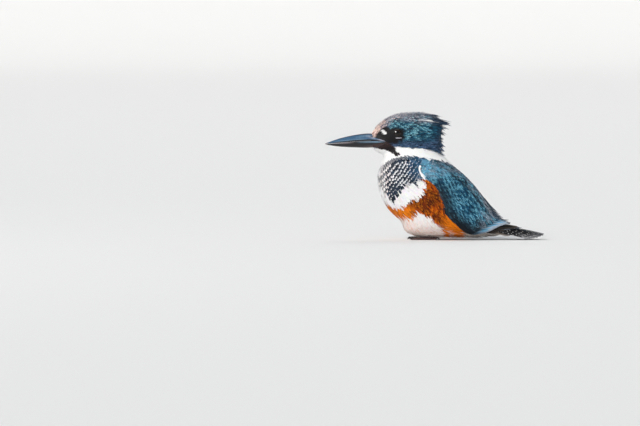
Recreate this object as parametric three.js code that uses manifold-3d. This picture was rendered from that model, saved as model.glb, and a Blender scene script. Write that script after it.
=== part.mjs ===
// A female belted kingfisher at life size, crouched on flat ground with its tail laid on it.
// Millimetres, +Z up. The bill points along -X, the bird's left side is towards -Y, and Y = 0 is its midline.
// Each rib, path and outline is given in the bird's own frame, whose origin lies on the ground under the
// trunk. The last lines move the finished group so that its own origin is under the middle of its box.
import * as THREE from "three";
import { mergeVertices } from "three/addons/utils/BufferGeometryUtils.js";
import Module from "manifold-3d";

const wasm = await Module();
wasm.setup();

// Driving dimensions, in millimetres and degrees.
const GAP = 0.3; // between neighbouring pieces
const WELD = 1e-3; // vertices nearer than this are one
const GROUND_BITE = 0.35; // how far soles and tail tips are made too low, before the ground trims them flat
const BILL_TIP = [-121, 110];
const GAPE = [-50, 113.2];
const MOUTH_SEAM = 0.35;
const EYE = { at: [-36.5, 13.3, 122.8], radius: 5.6 };
const FOOT = { ankle: [-3, 12.5], toeRadius: 1.9, padRadius: 3.4 };
const TARSUS = { height: 13, radius: 2.3 };
const CLAW_LENGTH = 5.2;
const TAIL = { root: [44, 23.5], length: 88, vane: 7.6, thickness: 0.9, pairs: 6 };
const TAIL_ROOM = { pitch: 10.5, half: [[0, 2.2], [9, 0.6], [18, -9], [16, -13], [0, -5]] };
const WING = { thickness: 3.2, edge: 0.7 };
const PARTING = 0.3; // width of the cut between crest and face, and between neck and trunk

// Colour and roughness of each kind of surface.
const FINISHES = {
  slate: ["#3f6f8a", 0.75],
  crest: ["#35566c", 0.75],
  collar: ["#f1f1ee", 0.85],
  breast: ["#e9e3dc", 0.85],
  flight: ["#2b2c2f", 0.7],
  bill: ["#2c3a46", 0.35],
  eye: ["#0b0a0a", 0.05],
  skin: ["#4a3a37", 0.6],
  claw: ["#1d1b1b", 0.4],
};

// ---------------------------------------------------------------- solids and geometry

// The closed mesh of a three.js geometry with its shared vertices merged and collapsed faces left out.
function closedMesh(geometry) {
  const bare = new THREE.BufferGeometry();
  bare.setAttribute("position", geometry.getAttribute("position"));
  bare.setIndex(geometry.getIndex());
  const merged = mergeVertices(bare, WELD);
  const corners = merged.index.array;
  const kept = [];
  for (let i = 0; i < corners.length; i += 3) {
    const [a, b, c] = corners.slice(i, i + 3);
    if (a !== b && b !== c && c !== a) kept.push(a, b, c);
  }
  merged.setIndex(kept);
  return merged;
}

function solidOf(geometry) {
  const mesh = closedMesh(geometry);
  const made = new wasm.Manifold(
    new wasm.Mesh({
      numProp: 3,
      vertProperties: Float32Array.from(mesh.attributes.position.array),
      triVerts: Uint32Array.from(mesh.index.array),
    }),
  );
  return made;
}

function geometryOf(solid) {
  const { vertProperties, triVerts } = solid.getMesh();
  const geometry = new THREE.BufferGeometry();
  geometry.setAttribute("position", new THREE.BufferAttribute(Float32Array.from(vertProperties), 3));
  geometry.setIndex(new THREE.BufferAttribute(Uint32Array.from(triVerts), 1));
  geometry.computeVertexNormals();
  return geometry;
}

// The solid with each vertex moved out along its normal, for cutting a neighbour with a gap.
function grown(solid, by = GAP) {
  const geometry = closedMesh(geometryOf(solid));
  geometry.computeVertexNormals();
  const place = geometry.getAttribute("position");
  const normal = geometry.getAttribute("normal");
  for (let i = 0; i < place.count; i++) {
    const moved = new THREE.Vector3().fromBufferAttribute(place, i);
    moved.addScaledVector(new THREE.Vector3().fromBufferAttribute(normal, i), by);
    place.setXYZ(i, ...moved);
  }
  return solidOf(geometry);
}

function joined(solids) {
  return solids.reduce((whole, piece) => whole.add(piece));
}

// The solid cut back from each neighbour so that a gap is left between them.
function clearOf(solid, neighbours, by = GAP) {
  return neighbours.reduce((rest, piece) => rest.subtract(piece).subtract(grown(piece, by)), solid);
}

// Booleans between faceted surfaces leave crumbs: a piece keeps its largest body.
function largest(solid) {
  return solid.decompose().reduce((most, body) => (body.volume() > most.volume() ? body : most));
}

// A big block of everything on one side of a plane through point, along normal.
function halfSpace(point, normal, size = 400) {
  const block = new THREE.BoxGeometry(size, size, size);
  block.translate(0, 0, size / 2);
  const turn = new THREE.Quaternion().setFromUnitVectors(
    new THREE.Vector3(0, 0, 1),
    new THREE.Vector3(...normal).normalize(),
  );
  block.applyQuaternion(turn);
  block.translate(...point);
  return solidOf(block);
}

function mirrored(solid) {
  return solid.mirror([0, 1, 0]);
}

// ---------------------------------------------------------------- curves and lofts

// A smooth function of 0..1 through evenly spaced values.
function through(values) {
  const curve = new THREE.CatmullRomCurve3(
    values.map((value, i) => new THREE.Vector3(i, value, 0)),
    false,
    "catmullrom",
    0.5,
  );
  return (t) => curve.getPoint(THREE.MathUtils.clamp(t, 0, 1)).y;
}

function midlineCurve(points) {
  return new THREE.CatmullRomCurve3(
    points.map(([x, z]) => new THREE.Vector3(x, 0, z)),
    false,
    "catmullrom",
    0.5,
  );
}

function sidedPower(value, power) {
  return Math.sign(value) * Math.abs(value) ** power;
}

// Evenly spaced shares of 0..1, drawn closer together towards both ends.
function closerAtEnds(share, strength = 0.4) {
  return THREE.MathUtils.lerp(share, (1 - Math.cos(Math.PI * share)) / 2, strength);
}

// A closed, two-sided body over ribs. Each rib runs across the midline plane from a low point to a high
// point, with a half width between. `squareness` below 1 gives a ridged section and above 1 a boxy one,
// and `taper` narrows the high side.
class RibLoft {
  constructor(ribs, { squareness = 1, taper = 0 } = {}) {
    this.low = midlineCurve(ribs.map((rib) => rib.low));
    this.high = midlineCurve(ribs.map((rib) => rib.high));
    this.halfWidth = through(ribs.map((rib) => rib.half));
    this.power = 1 / squareness;
    this.taper = taper;
  }

  // The point at t along the body and angle round it, where angle 0 is the high side.
  at(t, angle) {
    const low = this.low.getPoint(t);
    const high = this.high.getPoint(t);
    const up = sidedPower(Math.cos(angle), this.power);
    const out = sidedPower(Math.sin(angle), this.power);
    const point = low.clone().lerp(high, (1 + up) / 2);
    point.y = this.halfWidth(t) * out * (1 - this.taper * up);
    return point;
  }

  // The same, raised off the surface along its normal.
  off(t, angle, lift) {
    const step = 1e-3;
    const along = this.at(t + step, angle).sub(this.at(t - step, angle));
    const round = this.at(t, angle + step).sub(this.at(t, angle - step));
    const normal = along.cross(round).normalize();
    return this.at(t, angle).addScaledVector(normal, lift);
  }

  // Where a point of the side view, [x, z], lies on the surface: its t and its angle.
  fromSide([x, z]) {
    const aside = (t) => {
      const low = this.low.getPoint(t);
      const high = this.high.getPoint(t);
      return (x - low.x) * (high.z - low.z) - (z - low.z) * (high.x - low.x);
    };
    let [near, far] = [0.02, 0.98];
    for (let i = 0; i < 40; i++) {
      const middle = (near + far) / 2;
      if (aside(middle) > 0) near = middle;
      else far = middle;
    }
    const low = this.low.getPoint(near);
    const rib = this.high.getPoint(near).sub(low);
    const share = new THREE.Vector3(x, 0, z).sub(low).dot(rib) / rib.lengthSq();
    const up = THREE.MathUtils.clamp(2 * share - 1, -0.99, 0.99);
    return [near, Math.acos(sidedPower(up, 1 / this.power))];
  }

  solid(sides, rows) {
    const geometry = new THREE.SphereGeometry(1, sides, rows);
    const uv = geometry.getAttribute("uv");
    const place = geometry.getAttribute("position");
    for (let i = 0; i < place.count; i++) {
      const t = closerAtEnds(1 - uv.getY(i));
      const onPole = t < 1e-6 || t > 1 - 1e-6;
      const point = onPole
        ? this.low.getPoint(t).lerp(this.high.getPoint(t), 0.5)
        : this.at(t, 2 * Math.PI * uv.getX(i));
      place.setXYZ(i, ...point);
    }
    return facingOut(geometry);
  }
}

function facingOut(geometry) {
  const mesh = closedMesh(geometry);
  const made = solidOf(mesh);
  if (made.volume() > 0) return made;
  const corners = mesh.index.array;
  for (let i = 0; i < corners.length; i += 3) {
    [corners[i + 1], corners[i + 2]] = [corners[i + 2], corners[i + 1]];
  }
  return solidOf(mesh);
}

// A round-ended limb along a path: `width` and `depth` are its half sizes across, as functions of 0..1.
// `across` is the direction its width lies in.
function limb(path, width, depth, across, { sides = 10, rows = 8, roundness = 0.16 } = {}) {
  const geometry = new THREE.SphereGeometry(1, sides, rows);
  const uv = geometry.getAttribute("uv");
  const place = geometry.getAttribute("position");
  for (let i = 0; i < place.count; i++) {
    const t = closerAtEnds(1 - uv.getY(i), 1);
    const angle = 2 * Math.PI * uv.getX(i);
    const end = Math.min(1, Math.min(t, 1 - t) / roundness);
    const round = Math.sqrt(1 - (1 - end) ** 2);
    const tangent = path.getTangent(t);
    const over = tangent.clone().cross(new THREE.Vector3(...across)).normalize();
    const side = over.clone().cross(tangent).normalize();
    const point = path.getPoint(t);
    point.addScaledVector(side, width(t) * round * Math.cos(angle));
    point.addScaledVector(over, depth(t) * round * Math.sin(angle));
    place.setXYZ(i, ...point);
  }
  return facingOut(geometry);
}

function arc(...points) {
  return new THREE.CatmullRomCurve3(points.map((point) => new THREE.Vector3(...point)));
}

// ---------------------------------------------------------------- head, bill, eyes and crest

const HEAD_RIBS = [
  { low: [-69, 113], high: [-69, 115], half: 2 },
  { low: [-66.5, 105.5], high: [-68, 121.5], half: 7.5 },
  { low: [-61, 101], high: [-62.5, 128.5], half: 9.8 },
  { low: [-53, 97], high: [-55, 135], half: 12.6 },
  { low: [-43, 94.5], high: [-45.5, 140.8], half: 15.6 },
  { low: [-31, 93], high: [-33, 145], half: 18.3 },
  { low: [-17, 92.5], high: [-17, 146.2], half: 19.8 },
  { low: [-4, 93], high: [-3, 144.6], half: 19.4 },
  { low: [5, 94.5], high: [6.5, 140], half: 16 },
  { low: [10.5, 99], high: [11.5, 135], half: 10 },
  { low: [12.5, 115], high: [12.5, 121], half: 1.5 },
];

const BILL_RIBS = [
  { low: [BILL_TIP[0], BILL_TIP[1] - 0.3], high: [BILL_TIP[0], BILL_TIP[1] + 0.3], half: 0.3 },
  { low: [-115, 108.3], high: [-114, 112.9], half: 1.5 },
  { low: [-103, 106.8], high: [-101.5, 117], half: 3.3 },
  { low: [-86, 105.9], high: [-84, 120.7], half: 5.5 },
  { low: [-70, 105.6], high: [-69.5, 122], half: 8 },
  { low: [-60, 107], high: [-60, 120], half: 11 },
  { low: [GAPE[0] - 2, GAPE[1] - 2.2], high: [GAPE[0] - 2, GAPE[1] + 2.2], half: 13.4 },
  { low: [GAPE[0], GAPE[1] - 0.4], high: [GAPE[0], GAPE[1] + 0.4], half: 10 },
];

// The closed mouth's line, from tip to gape, seen from the side.
const MOUTH = midlineCurve([[-124, 109.9], [-101, 111.6], [-80, 113.4], [-62, 113.7], [-46, 112.6]]);

function makeBill() {
  const whole = new RibLoft(BILL_RIBS, { squareness: 0.92 }).solid(16, 12);
  const line = MOUTH.getPoints(6);
  const above = (drop) => {
    const outline = new THREE.Shape(line.map((point) => new THREE.Vector2(point.x, point.z - drop)));
    outline.lineTo(line.at(-1).x, 160);
    outline.lineTo(line[0].x, 160);
    const block = new THREE.ExtrudeGeometry(outline, { depth: 60, bevelEnabled: false });
    block.translate(0, 0, -30);
    block.rotateX(Math.PI / 2);
    return facingOut(block);
  };
  return {
    whole,
    upper: whole.intersect(above(0)),
    lower: whole.subtract(above(MOUTH_SEAM)),
  };
}

function makeEye() {
  const ball = new THREE.SphereGeometry(EYE.radius, 12, 8);
  ball.rotateX(Math.PI / 2);
  ball.translate(...EYE.at);
  return solidOf(ball);
}

// The crest is all of the head above and behind a slanting parting, with a ragged edge of plumes.
const CREST_PARTING = { point: [-36, 0, 146], normal: [0.79, 0, 0.61] };
const PLUME_ROOTS = arc([-14, 0, 141], [-3, 0, 135], [0, 0, 126], [1, 0, 118], [1, 0, 110], [1, 0, 102]);
const PLUME_TIPS = arc(
  [14, 0, 141],
  [25.8, 0, 133.4],
  [20, 0, 126],
  [19, 0, 117],
  [18.3, 0, 108],
  [17, 0, 98.5],
);
const PLUMES = {
  rows: 6,
  spread: through([3.6, 5, 6.6, 7.2, 7.2, 6.8]), // between neighbouring plumes of a row
  roundness: 0.022, // how far forward the outer plumes of a row stand, by the square of their distance out
  halfWidth: 3.9,
  halfDepth: 2.3,
};

function makePlume(f, place) {
  const y = place * PLUMES.spread(f);
  const forward = PLUMES.roundness * y * y;
  const start = PLUME_ROOTS.getPoint(f).add(new THREE.Vector3(-forward, y * 0.9, 0));
  const end = PLUME_TIPS.getPoint(f).add(new THREE.Vector3(-1.6 * forward, y, 0));
  const bow = start.clone().lerp(end, 0.5).add(new THREE.Vector3(0, 0, 0.8));
  const width = (t) => PLUMES.halfWidth * (1 - 0.75 * t ** 3);
  const depth = (t) => PLUMES.halfDepth * (1 - 0.7 * t ** 2);
  return limb(arc(start, bow, end), width, depth, [0, 1, 0], { sides: 5, rows: 4, roundness: 0.3 });
}

function makePlumes() {
  const plumes = [];
  for (let row = 0; row < PLUMES.rows; row++) {
    const places = row % 2 ? [-1.5, -0.5, 0.5, 1.5] : [-1, 0, 1];
    for (const place of places) plumes.push(makePlume(row / (PLUMES.rows - 1), place));
  }
  return plumes;
}

// The two sides of a cut through a piece: what lies on the normal's side, and the rest less the cut's width.
function parted(solid, { point, normal }, width = PARTING) {
  const towards = new THREE.Vector3(...normal).normalize();
  const cut = towards.clone().multiplyScalar(-width).add(new THREE.Vector3(...point));
  return [solid.intersect(halfSpace(point, normal)), solid.subtract(halfSpace(cut.toArray(), normal))];
}

// ---------------------------------------------------------------- neck, trunk and tail

const BODY_RIBS = [
  { low: [-40, 113], high: [-38, 115], half: 2 },
  { low: [-52, 98], high: [-22, 122], half: 14 },
  { low: [-58.5, 84], high: [-6, 116], half: 21.5 },
  { low: [-61, 70], high: [14, 98], half: 28 },
  { low: [-58, 54], high: [27, 85.5], half: 32.5 },
  { low: [-50.5, 38], high: [38, 76], half: 35 },
  { low: [-41, 27.5], high: [47.5, 66.5], half: 35.5 },
  { low: [-33.5, 21], high: [55.5, 56.5], half: 34.5 },
  { low: [-27, 8], high: [62.5, 46], half: 32.5 },
  { low: [-8, 4.3], high: [68.5, 37], half: 29.5 },
  { low: [18, 4.3], high: [73.5, 29.5], half: 25.5 },
  { low: [40, 4], high: [78.5, 24], half: 20.5 },
  { low: [60, 3.6], high: [84.5, 19], half: 14.5 },
  { low: [76, 4], high: [91, 14.8], half: 9.5 },
  { low: [91, 8.6], high: [94, 10.2], half: 2 },
];

const COLLAR_PARTING = { point: [-60, 0, 80.5], normal: [-0.13, 0, 0.99] };

// One tail feather's flat outline: a narrow base, parallel edges and a blunt round tip.
function featherOutline(length, vane) {
  const shape = new THREE.Shape();
  const base = vane * 0.3;
  shape.moveTo(0, -base);
  shape.lineTo(length * 0.4, -vane);
  shape.lineTo(length - vane * 1.15, -vane * 0.96);
  shape.quadraticCurveTo(length - vane * 0.1, -vane * 0.8, length, 0);
  shape.quadraticCurveTo(length - vane * 0.1, vane * 0.8, length - vane * 1.15, vane * 0.96);
  shape.lineTo(length * 0.4, vane);
  shape.lineTo(0, base);
  shape.closePath();
  return shape;
}

// A flat feather from root, pitched down, fanned sideways and rolled about its own shaft, in degrees.
function makeFeather({ root, length, vane, thickness, pitch, fan, roll }) {
  const blade = new THREE.ExtrudeGeometry(featherOutline(length, vane), {
    depth: thickness,
    bevelEnabled: false,
    curveSegments: 2,
  });
  blade.translate(0, 0, -thickness / 2);
  const turn = new THREE.Euler(
    THREE.MathUtils.degToRad(roll),
    THREE.MathUtils.degToRad(pitch),
    THREE.MathUtils.degToRad(fan),
    "ZYX",
  );
  blade.applyMatrix4(new THREE.Matrix4().makeRotationFromEuler(turn));
  blade.translate(...root);
  return solidOf(blade);
}

// The piece lowered or raised until the ground will trim small flats on its lowest points.
function laidDown(solid) {
  return solid.translate([0, 0, -GROUND_BITE - solid.boundingBox().min[2]]);
}

// Six pairs of tail feathers, tented: the middle pair lies on top and the outer ones slope down and out.
function makeTail(body) {
  const feathers = [];
  for (let pair = 0; pair < TAIL.pairs; pair++) {
    const out = pair / (TAIL.pairs - 1);
    for (const side of [-1, 1]) {
      feathers.push(
        makeFeather({
          root: [TAIL.root[0], side * (1.2 + 7.5 * out), TAIL.root[1] - 3.2 * out],
          length: TAIL.length - 15 * out ** 1.6,
          vane: TAIL.vane - 1.6 * out,
          thickness: TAIL.thickness,
          pitch: 9.8 + 2.6 * out,
          fan: side * (0.6 + 2.6 * out),
          roll: -side * (4 + 32 * out),
        }),
      );
    }
  }
  return largest(clearOf(laidDown(joined(feathers)), [body]));
}

// A plain tent-shaped bar a little larger than the fanned tail, which cuts room for it under the wings.
function makeTailRoom() {
  const tent = new THREE.Shape(TAIL_ROOM.half.map(([y, z]) => new THREE.Vector2(y, z)));
  for (const [y, z] of [...TAIL_ROOM.half].reverse()) {
    if (y > 0) tent.lineTo(-y, z);
  }
  const bar = new THREE.ExtrudeGeometry(tent, { depth: TAIL.length, bevelEnabled: false });
  bar.rotateX(Math.PI / 2);
  bar.rotateZ(Math.PI / 2);
  bar.rotateY(THREE.MathUtils.degToRad(TAIL_ROOM.pitch));
  bar.translate(TAIL.root[0], 0, TAIL.root[1]);
  return facingOut(bar);
}

// ---------------------------------------------------------------- wings

// The folded wing's shell lies on the body between an upper edge, in degrees from the back's midline, and
// a lower edge drawn in the side view, from the bend of the wing to where the primaries come out.
const WING_UPPER = { from: 0.235, to: 0.92, angle: through([56, 24, 15, 13, 12, 12, 13, 16]) };
const WING_LOWER = midlineCurve([
  [-11.5, 84],
  [-8, 73],
  [6, 62],
  [12.5, 48],
  [15.5, 32],
  [28, 19],
  [44, 9],
  [56, 9.5],
  [67, 12.5],
  [77, 15.5],
]);

function makeWingShell(body) {
  const shell = new THREE.BoxGeometry(1, 1, 1, 14, 6, 1);
  const place = shell.getAttribute("position");
  for (let i = 0; i < place.count; i++) {
    const along = place.getX(i) + 0.5;
    const across = place.getY(i) + 0.5;
    const outer = place.getZ(i) > 0;
    const edge = WING_LOWER.getPoint(along);
    const [lowerT, lowerAngle] = body.fromSide([edge.x, edge.z]);
    const upperT = THREE.MathUtils.lerp(WING_UPPER.from, WING_UPPER.to, along);
    const upperAngle = THREE.MathUtils.degToRad(WING_UPPER.angle(along));
    const rim = Math.sin(Math.PI * along) ** 0.5 * Math.sin(Math.PI * across) ** 0.6;
    const lift = outer ? GAP + WING.edge + (WING.thickness - WING.edge) * rim : -1.5;
    const t = THREE.MathUtils.lerp(upperT, lowerT, across);
    place.setXYZ(i, ...body.off(t, THREE.MathUtils.lerp(upperAngle, lowerAngle, across), lift));
  }
  return facingOut(shell);
}

// The long feathers that reach past the shell: tertials over the rump, and primaries along the tail's edge.
const QUILLS = [
  { from: [50, 9.5, 42], to: [85, 6.5, 21.5], half: 5.5, slope: 56 },
  { from: [50, 14, 36], to: [84.5, 11, 18.5], half: 5.5, slope: 56 },
  { from: [46, 20, 22], to: [84, 16, 13.5], half: 4.4, slope: 44 },
  { from: [46, 19.5, 22], to: [91, 13, 14], half: 4.4, slope: 38 },
  { from: [46, 18.5, 22], to: [99, 9.5, 14.4], half: 4.2, slope: 32 },
];

function makeQuills() {
  const quills = QUILLS.map(({ from, to, half, slope }) => {
    const middle = from.map((value, axis) => (value + to[axis]) / 2 + 0.7);
    middle[0] = (from[0] + to[0]) / 2;
    const width = (t) => half * (1 - 0.4 * t ** 2);
    const fall = THREE.MathUtils.degToRad(slope);
    const across = [0, Math.cos(fall), -Math.sin(fall)];
    return limb(arc(from, middle, to), width, () => 0.75, across, { sides: 6, rows: 5 });
  });
  return joined(quills);
}

function makeWing(body, whole, tailRoom) {
  return largest(clearOf(makeWingShell(body).add(makeQuills()), [whole]).subtract(tailRoom));
}

// ---------------------------------------------------------------- legs, feet and claws

// Toes by name: the direction they point in, degrees outwards from straight ahead, and their length.
const TOES = {
  inner: { heading: -20, length: 12.5 },
  middle: { heading: 2, length: 19.5 },
  outer: { heading: 15, length: 17.5 },
  hind: { heading: 187, length: 10.5 },
};

function toeDirection(toe) {
  const turn = THREE.MathUtils.degToRad(TOES[toe].heading);
  return new THREE.Vector3(-Math.cos(turn), Math.sin(turn), 0);
}

function toePoint(toe, distance, height) {
  const [x, y] = FOOT.ankle;
  const point = new THREE.Vector3(x, y, 0).addScaledVector(toeDirection(toe), distance);
  return [point.x, point.y, height];
}

function makeToe(toe) {
  const radius = FOOT.toeRadius;
  const { length } = TOES[toe];
  const low = radius - GROUND_BITE;
  const path = arc(
    toePoint(toe, 0, low + 0.6),
    toePoint(toe, length * 0.35, low),
    toePoint(toe, length * 0.7, low),
    toePoint(toe, length, low),
  );
  const knuckles = (t) => radius * (1.02 - 0.22 * t + 0.07 * Math.cos(6 * Math.PI * t));
  return limb(path, (t) => knuckles(t) * 1.08, knuckles, [0, 1, 0], { sides: 7, rows: 6 });
}

// The web of skin that joins the middle and outer toes for most of their length.
function makeToeWeb() {
  const path = arc(toePoint("middle", 2, 1.3), [...toePoint("outer", 8, 1.3)], toePoint("outer", 12.5, 1.3));
  return limb(path, () => 1.9, () => 1.35, [0, 1, 0], { sides: 6, rows: 4 });
}

function makeFoot() {
  const [x, y] = FOOT.ankle;
  const pad = limb(
    arc([x + 3.5, y, 1.7], [x, y, 1.8], [x - 4.5, y, 1.6]),
    () => FOOT.padRadius,
    () => 2.1,
    [0, 1, 0],
    { sides: 8, rows: 6 },
  );
  return joined([pad, makeToeWeb(), ...Object.keys(TOES).map(makeToe)]);
}

function makeClaw(toe) {
  const start = TOES[toe].length - 1.4;
  const tip = start + CLAW_LENGTH;
  const path = arc(
    toePoint(toe, start, 1.7),
    toePoint(toe, start + CLAW_LENGTH * 0.5, 2.1),
    toePoint(toe, tip, 0.55),
  );
  const taper = (t) => 0.95 - 0.62 * t;
  return limb(path, taper, taper, [0, 1, 0], { sides: 6, rows: 5 });
}

function makeTarsus() {
  const [x, y] = FOOT.ankle;
  const path = arc([x + 0.5, y, 2.6], [x + 2.5, y, 7], [x + 6, y, TARSUS.height]);
  return limb(path, () => TARSUS.radius, () => TARSUS.radius * 1.1, [0, 1, 0], { sides: 8, rows: 6 });
}

// ---------------------------------------------------------------- assembly

const bird = new THREE.Group();
bird.name = "belted_kingfisher";
const ground = halfSpace([0, 0, 0], [0, 0, 1]);

function place(name, solid, [color, roughness]) {
  const standing = largest(solid.intersect(ground));
  const rounded = largest(solidOf(geometryOf(standing))); // stored numbers can pinch off one more crumb
  const material = new THREE.MeshStandardMaterial({ color, roughness, metalness: 0 });
  const mesh = new THREE.Mesh(geometryOf(rounded), material);
  mesh.name = name;
  bird.add(mesh);
}

function placePair(name, solid, finish) {
  place(`${name}_right`, solid, finish);
  place(`${name}_left`, mirrored(solid), finish);
}

const headLoft = new RibLoft(HEAD_RIBS, { squareness: 1.04, taper: 0.12 }).solid(22, 13);
const bodyLoft = new RibLoft(BODY_RIBS, { squareness: 1.04, taper: 0.1 });
const bodyWhole = bodyLoft.solid(24, 18);
const bill = makeBill();
const eye = makeEye();
const plumed = clearOf(joined([headLoft, ...makePlumes()]), [bill.whole, eye, mirrored(eye)]);
const [crest, head] = parted(plumed, CREST_PARTING);

place("head", head, FINISHES.slate);
place("crest", crest, FINISHES.crest);
place("bill_upper", bill.upper, FINISHES.bill);
place("bill_lower", bill.lower, FINISHES.bill);
placePair("eye", clearOf(eye, [bill.whole]), FINISHES.eye);

const tarsus = makeTarsus();
const foot = makeFoot();
const legs = [tarsus, foot].flatMap((piece) => [piece, mirrored(piece)]);
const body = clearOf(bodyWhole, [plumed, bill.whole, ...legs]);
const [neck, trunk] = parted(body, COLLAR_PARTING);
place("neck", neck, FINISHES.collar);
place("trunk", trunk, FINISHES.breast);

const tail = makeTail(bodyWhole);
place("tail", tail, FINISHES.flight);
const wing = clearOf(makeWing(bodyLoft, bodyWhole, makeTailRoom()), [plumed]);
placePair("wing", wing, FINISHES.slate);

const claws = Object.keys(TOES).map((toe) => [toe, makeClaw(toe)]);
placePair("tarsus", clearOf(tarsus, [foot]), FINISHES.skin);
placePair("foot", foot, FINISHES.skin);
for (const [toe, claw] of claws) placePair(`claw_${toe}`, clearOf(claw, [foot]), FINISHES.claw);

const box = new THREE.Box3().setFromObject(bird);
const middle = box.getCenter(new THREE.Vector3());
bird.position.set(-middle.x, -middle.y, -box.min.z);

export default bird;
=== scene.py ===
# A life-size female belted kingfisher, dressed over its CAD frame: one skin, closed feather vanes over it,
# and its bill, eyes, lids, feet and claws. Shapes are worked out in millimetres in the bird's own frame,
# whose origin lies on the ground under the trunk, and are put in the part's frame when each mesh is made.
import math

import bmesh
import bpy
import numpy as np
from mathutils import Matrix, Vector
from mathutils.bvhtree import BVHTree
from mathutils.kdtree import KDTree


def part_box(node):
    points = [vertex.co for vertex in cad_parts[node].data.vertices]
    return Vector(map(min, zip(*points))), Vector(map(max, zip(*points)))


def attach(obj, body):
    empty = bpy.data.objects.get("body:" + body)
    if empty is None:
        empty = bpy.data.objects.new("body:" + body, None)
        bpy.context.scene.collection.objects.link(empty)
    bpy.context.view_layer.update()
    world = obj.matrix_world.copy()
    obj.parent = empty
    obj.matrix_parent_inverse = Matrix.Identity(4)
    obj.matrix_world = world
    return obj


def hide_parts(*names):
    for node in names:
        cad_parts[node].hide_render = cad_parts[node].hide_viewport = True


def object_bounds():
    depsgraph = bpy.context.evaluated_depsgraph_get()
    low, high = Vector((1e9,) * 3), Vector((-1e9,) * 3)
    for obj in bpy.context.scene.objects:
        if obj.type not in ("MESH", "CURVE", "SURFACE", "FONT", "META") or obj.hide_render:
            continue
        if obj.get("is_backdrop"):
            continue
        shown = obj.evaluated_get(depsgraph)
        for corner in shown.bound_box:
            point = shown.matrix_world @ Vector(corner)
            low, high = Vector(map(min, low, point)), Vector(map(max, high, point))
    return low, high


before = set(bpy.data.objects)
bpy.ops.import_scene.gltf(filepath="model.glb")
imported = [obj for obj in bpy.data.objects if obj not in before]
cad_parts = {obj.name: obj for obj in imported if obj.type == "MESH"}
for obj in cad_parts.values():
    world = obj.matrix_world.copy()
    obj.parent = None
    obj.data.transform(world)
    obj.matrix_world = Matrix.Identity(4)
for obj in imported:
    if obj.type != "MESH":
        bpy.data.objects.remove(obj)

cad_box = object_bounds()
chance = np.random.default_rng(20)

MM = 0.001
CIRCLE = 2 * math.pi
SIDES = ((-1, "left"), (1, "right"))
BILL_TIP_X = -121.0
SHIFT_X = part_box("bill_upper")[0].x / MM - BILL_TIP_X  # from the bird's frame to the part's
EYE_AT = np.array([-36.5, 13.3, 122.8])
EYE_RADIUS = 5.6
COAT_DEPTH = {"face": 0.5, "crown": 1.0, "body": 1.3, "wing": 0.6}


def in_part(places):
    return (np.asarray(places, float) + [SHIFT_X, 0, 0]) * MM


def linear(colour):
    """Linear light of a colour given as 0 to 255 screen values."""
    share = np.asarray(colour, float) / 255
    return np.where(share <= 0.04045, share / 12.92, ((share + 0.055) / 1.055) ** 2.4)


def unit(vectors):
    return vectors / np.maximum(np.linalg.norm(vectors, axis=-1, keepdims=True), 1e-9)


def square_to(vectors, lines):
    """Unit vectors nearest to the given ones and at right angles to unit lines."""
    return unit(vectors - lines * np.sum(vectors * lines, axis=-1, keepdims=True))


def ease(low, high, value):
    """0 below low and 1 above high, with a smooth rise between."""
    share = np.clip((value - low) / (high - low), 0, 1)
    return share * share * (3 - 2 * share)


def blend(first, second, share):
    return first + (second - first) * np.asarray(share)[..., None]


def ripple(places, size, seed):
    """A smooth random field from about -1 to 1 whose swells are about size millimetres across."""
    waves = np.random.default_rng(seed)
    total = 0
    for _ in range(6):
        heading = unit(waves.normal(size=3)) * waves.uniform(0.7, 1.5)
        total = total + np.sin(places @ heading * CIRCLE / size + waves.uniform(0, 6.3))
    return total / 2.6


# ---------------------------------------------------------------- studio

CAMERA = {"lens": 500, "sensor_width": 36, "clip_end": 100}
CAMERA_AIM = (-126.5, 0, 30.5)  # ahead of the bird, so that it stands right of the middle
CAMERA_DISTANCE = 10.22  # metres
CAMERA_TILT = math.radians(2)


def make_camera():
    """A long lens far off, a little above the bird's own level."""
    data = bpy.data.cameras.new("camera")
    for label, value in CAMERA.items():
        setattr(data, label, value)
    camera = bpy.data.objects.new("camera", data)
    back = Vector((0, -math.cos(CAMERA_TILT), math.sin(CAMERA_TILT)))
    camera.location = Vector(in_part(CAMERA_AIM)) + back * CAMERA_DISTANCE
    camera.rotation_euler = (math.pi / 2 - CAMERA_TILT, 0, 0)
    bpy.context.collection.objects.link(camera)
    bpy.context.scene.camera = camera


def add_light(kind, name, travel, power, colour, place=(0, 0, 0), **shape):
    """A lamp that shines along a direction of travel."""
    data = bpy.data.lights.new(name, kind)
    data.energy = power
    data.color = colour
    for label, value in shape.items():
        setattr(data, label, value)
    light = bpy.data.objects.new(name, data)
    light.location = place
    light.rotation_euler = Vector(travel).to_track_quat("-Z", "Y").to_euler()
    bpy.context.collection.objects.link(light)
    return light


def make_studio():
    """A pale sky, three soft suns, and a round lamp that shows only in reflections, as in the eye."""
    scene = bpy.context.scene
    scene.view_settings.view_transform = "Standard"
    world = bpy.data.worlds.new("sky")
    world.use_nodes = True
    sky = world.node_tree.nodes["Background"]
    sky.inputs["Color"].default_value = (0.9, 0.95, 1.0, 1)
    sky.inputs["Strength"].default_value = 0.42
    scene.world = world
    suns = (
        ("key", (0.7, 0.66, -0.9), 22, 2.0, (1.0, 0.97, 0.93)),
        ("fill", (0.22, 0.95, -0.03), 55, 1.2, (1.0, 0.98, 0.96)),
        ("rim", (-0.5, -0.8, -0.9), 30, 0.45, (1.0, 0.98, 0.96)),
    )
    for name, travel, softness, power, colour in suns:
        sun = add_light("SUN", name, travel, power, colour, angle=math.radians(softness))
        sun.visible_glossy = False
    place = (-1.4, -0.12, 0.78)
    travel = Vector((0, 0, 0.1)) - Vector(place)
    lamp = add_light("AREA", "window", travel, 30, (1.0, 0.99, 0.97), place, shape="DISK", size=0.62)
    lamp.visible_diffuse = False


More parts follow.
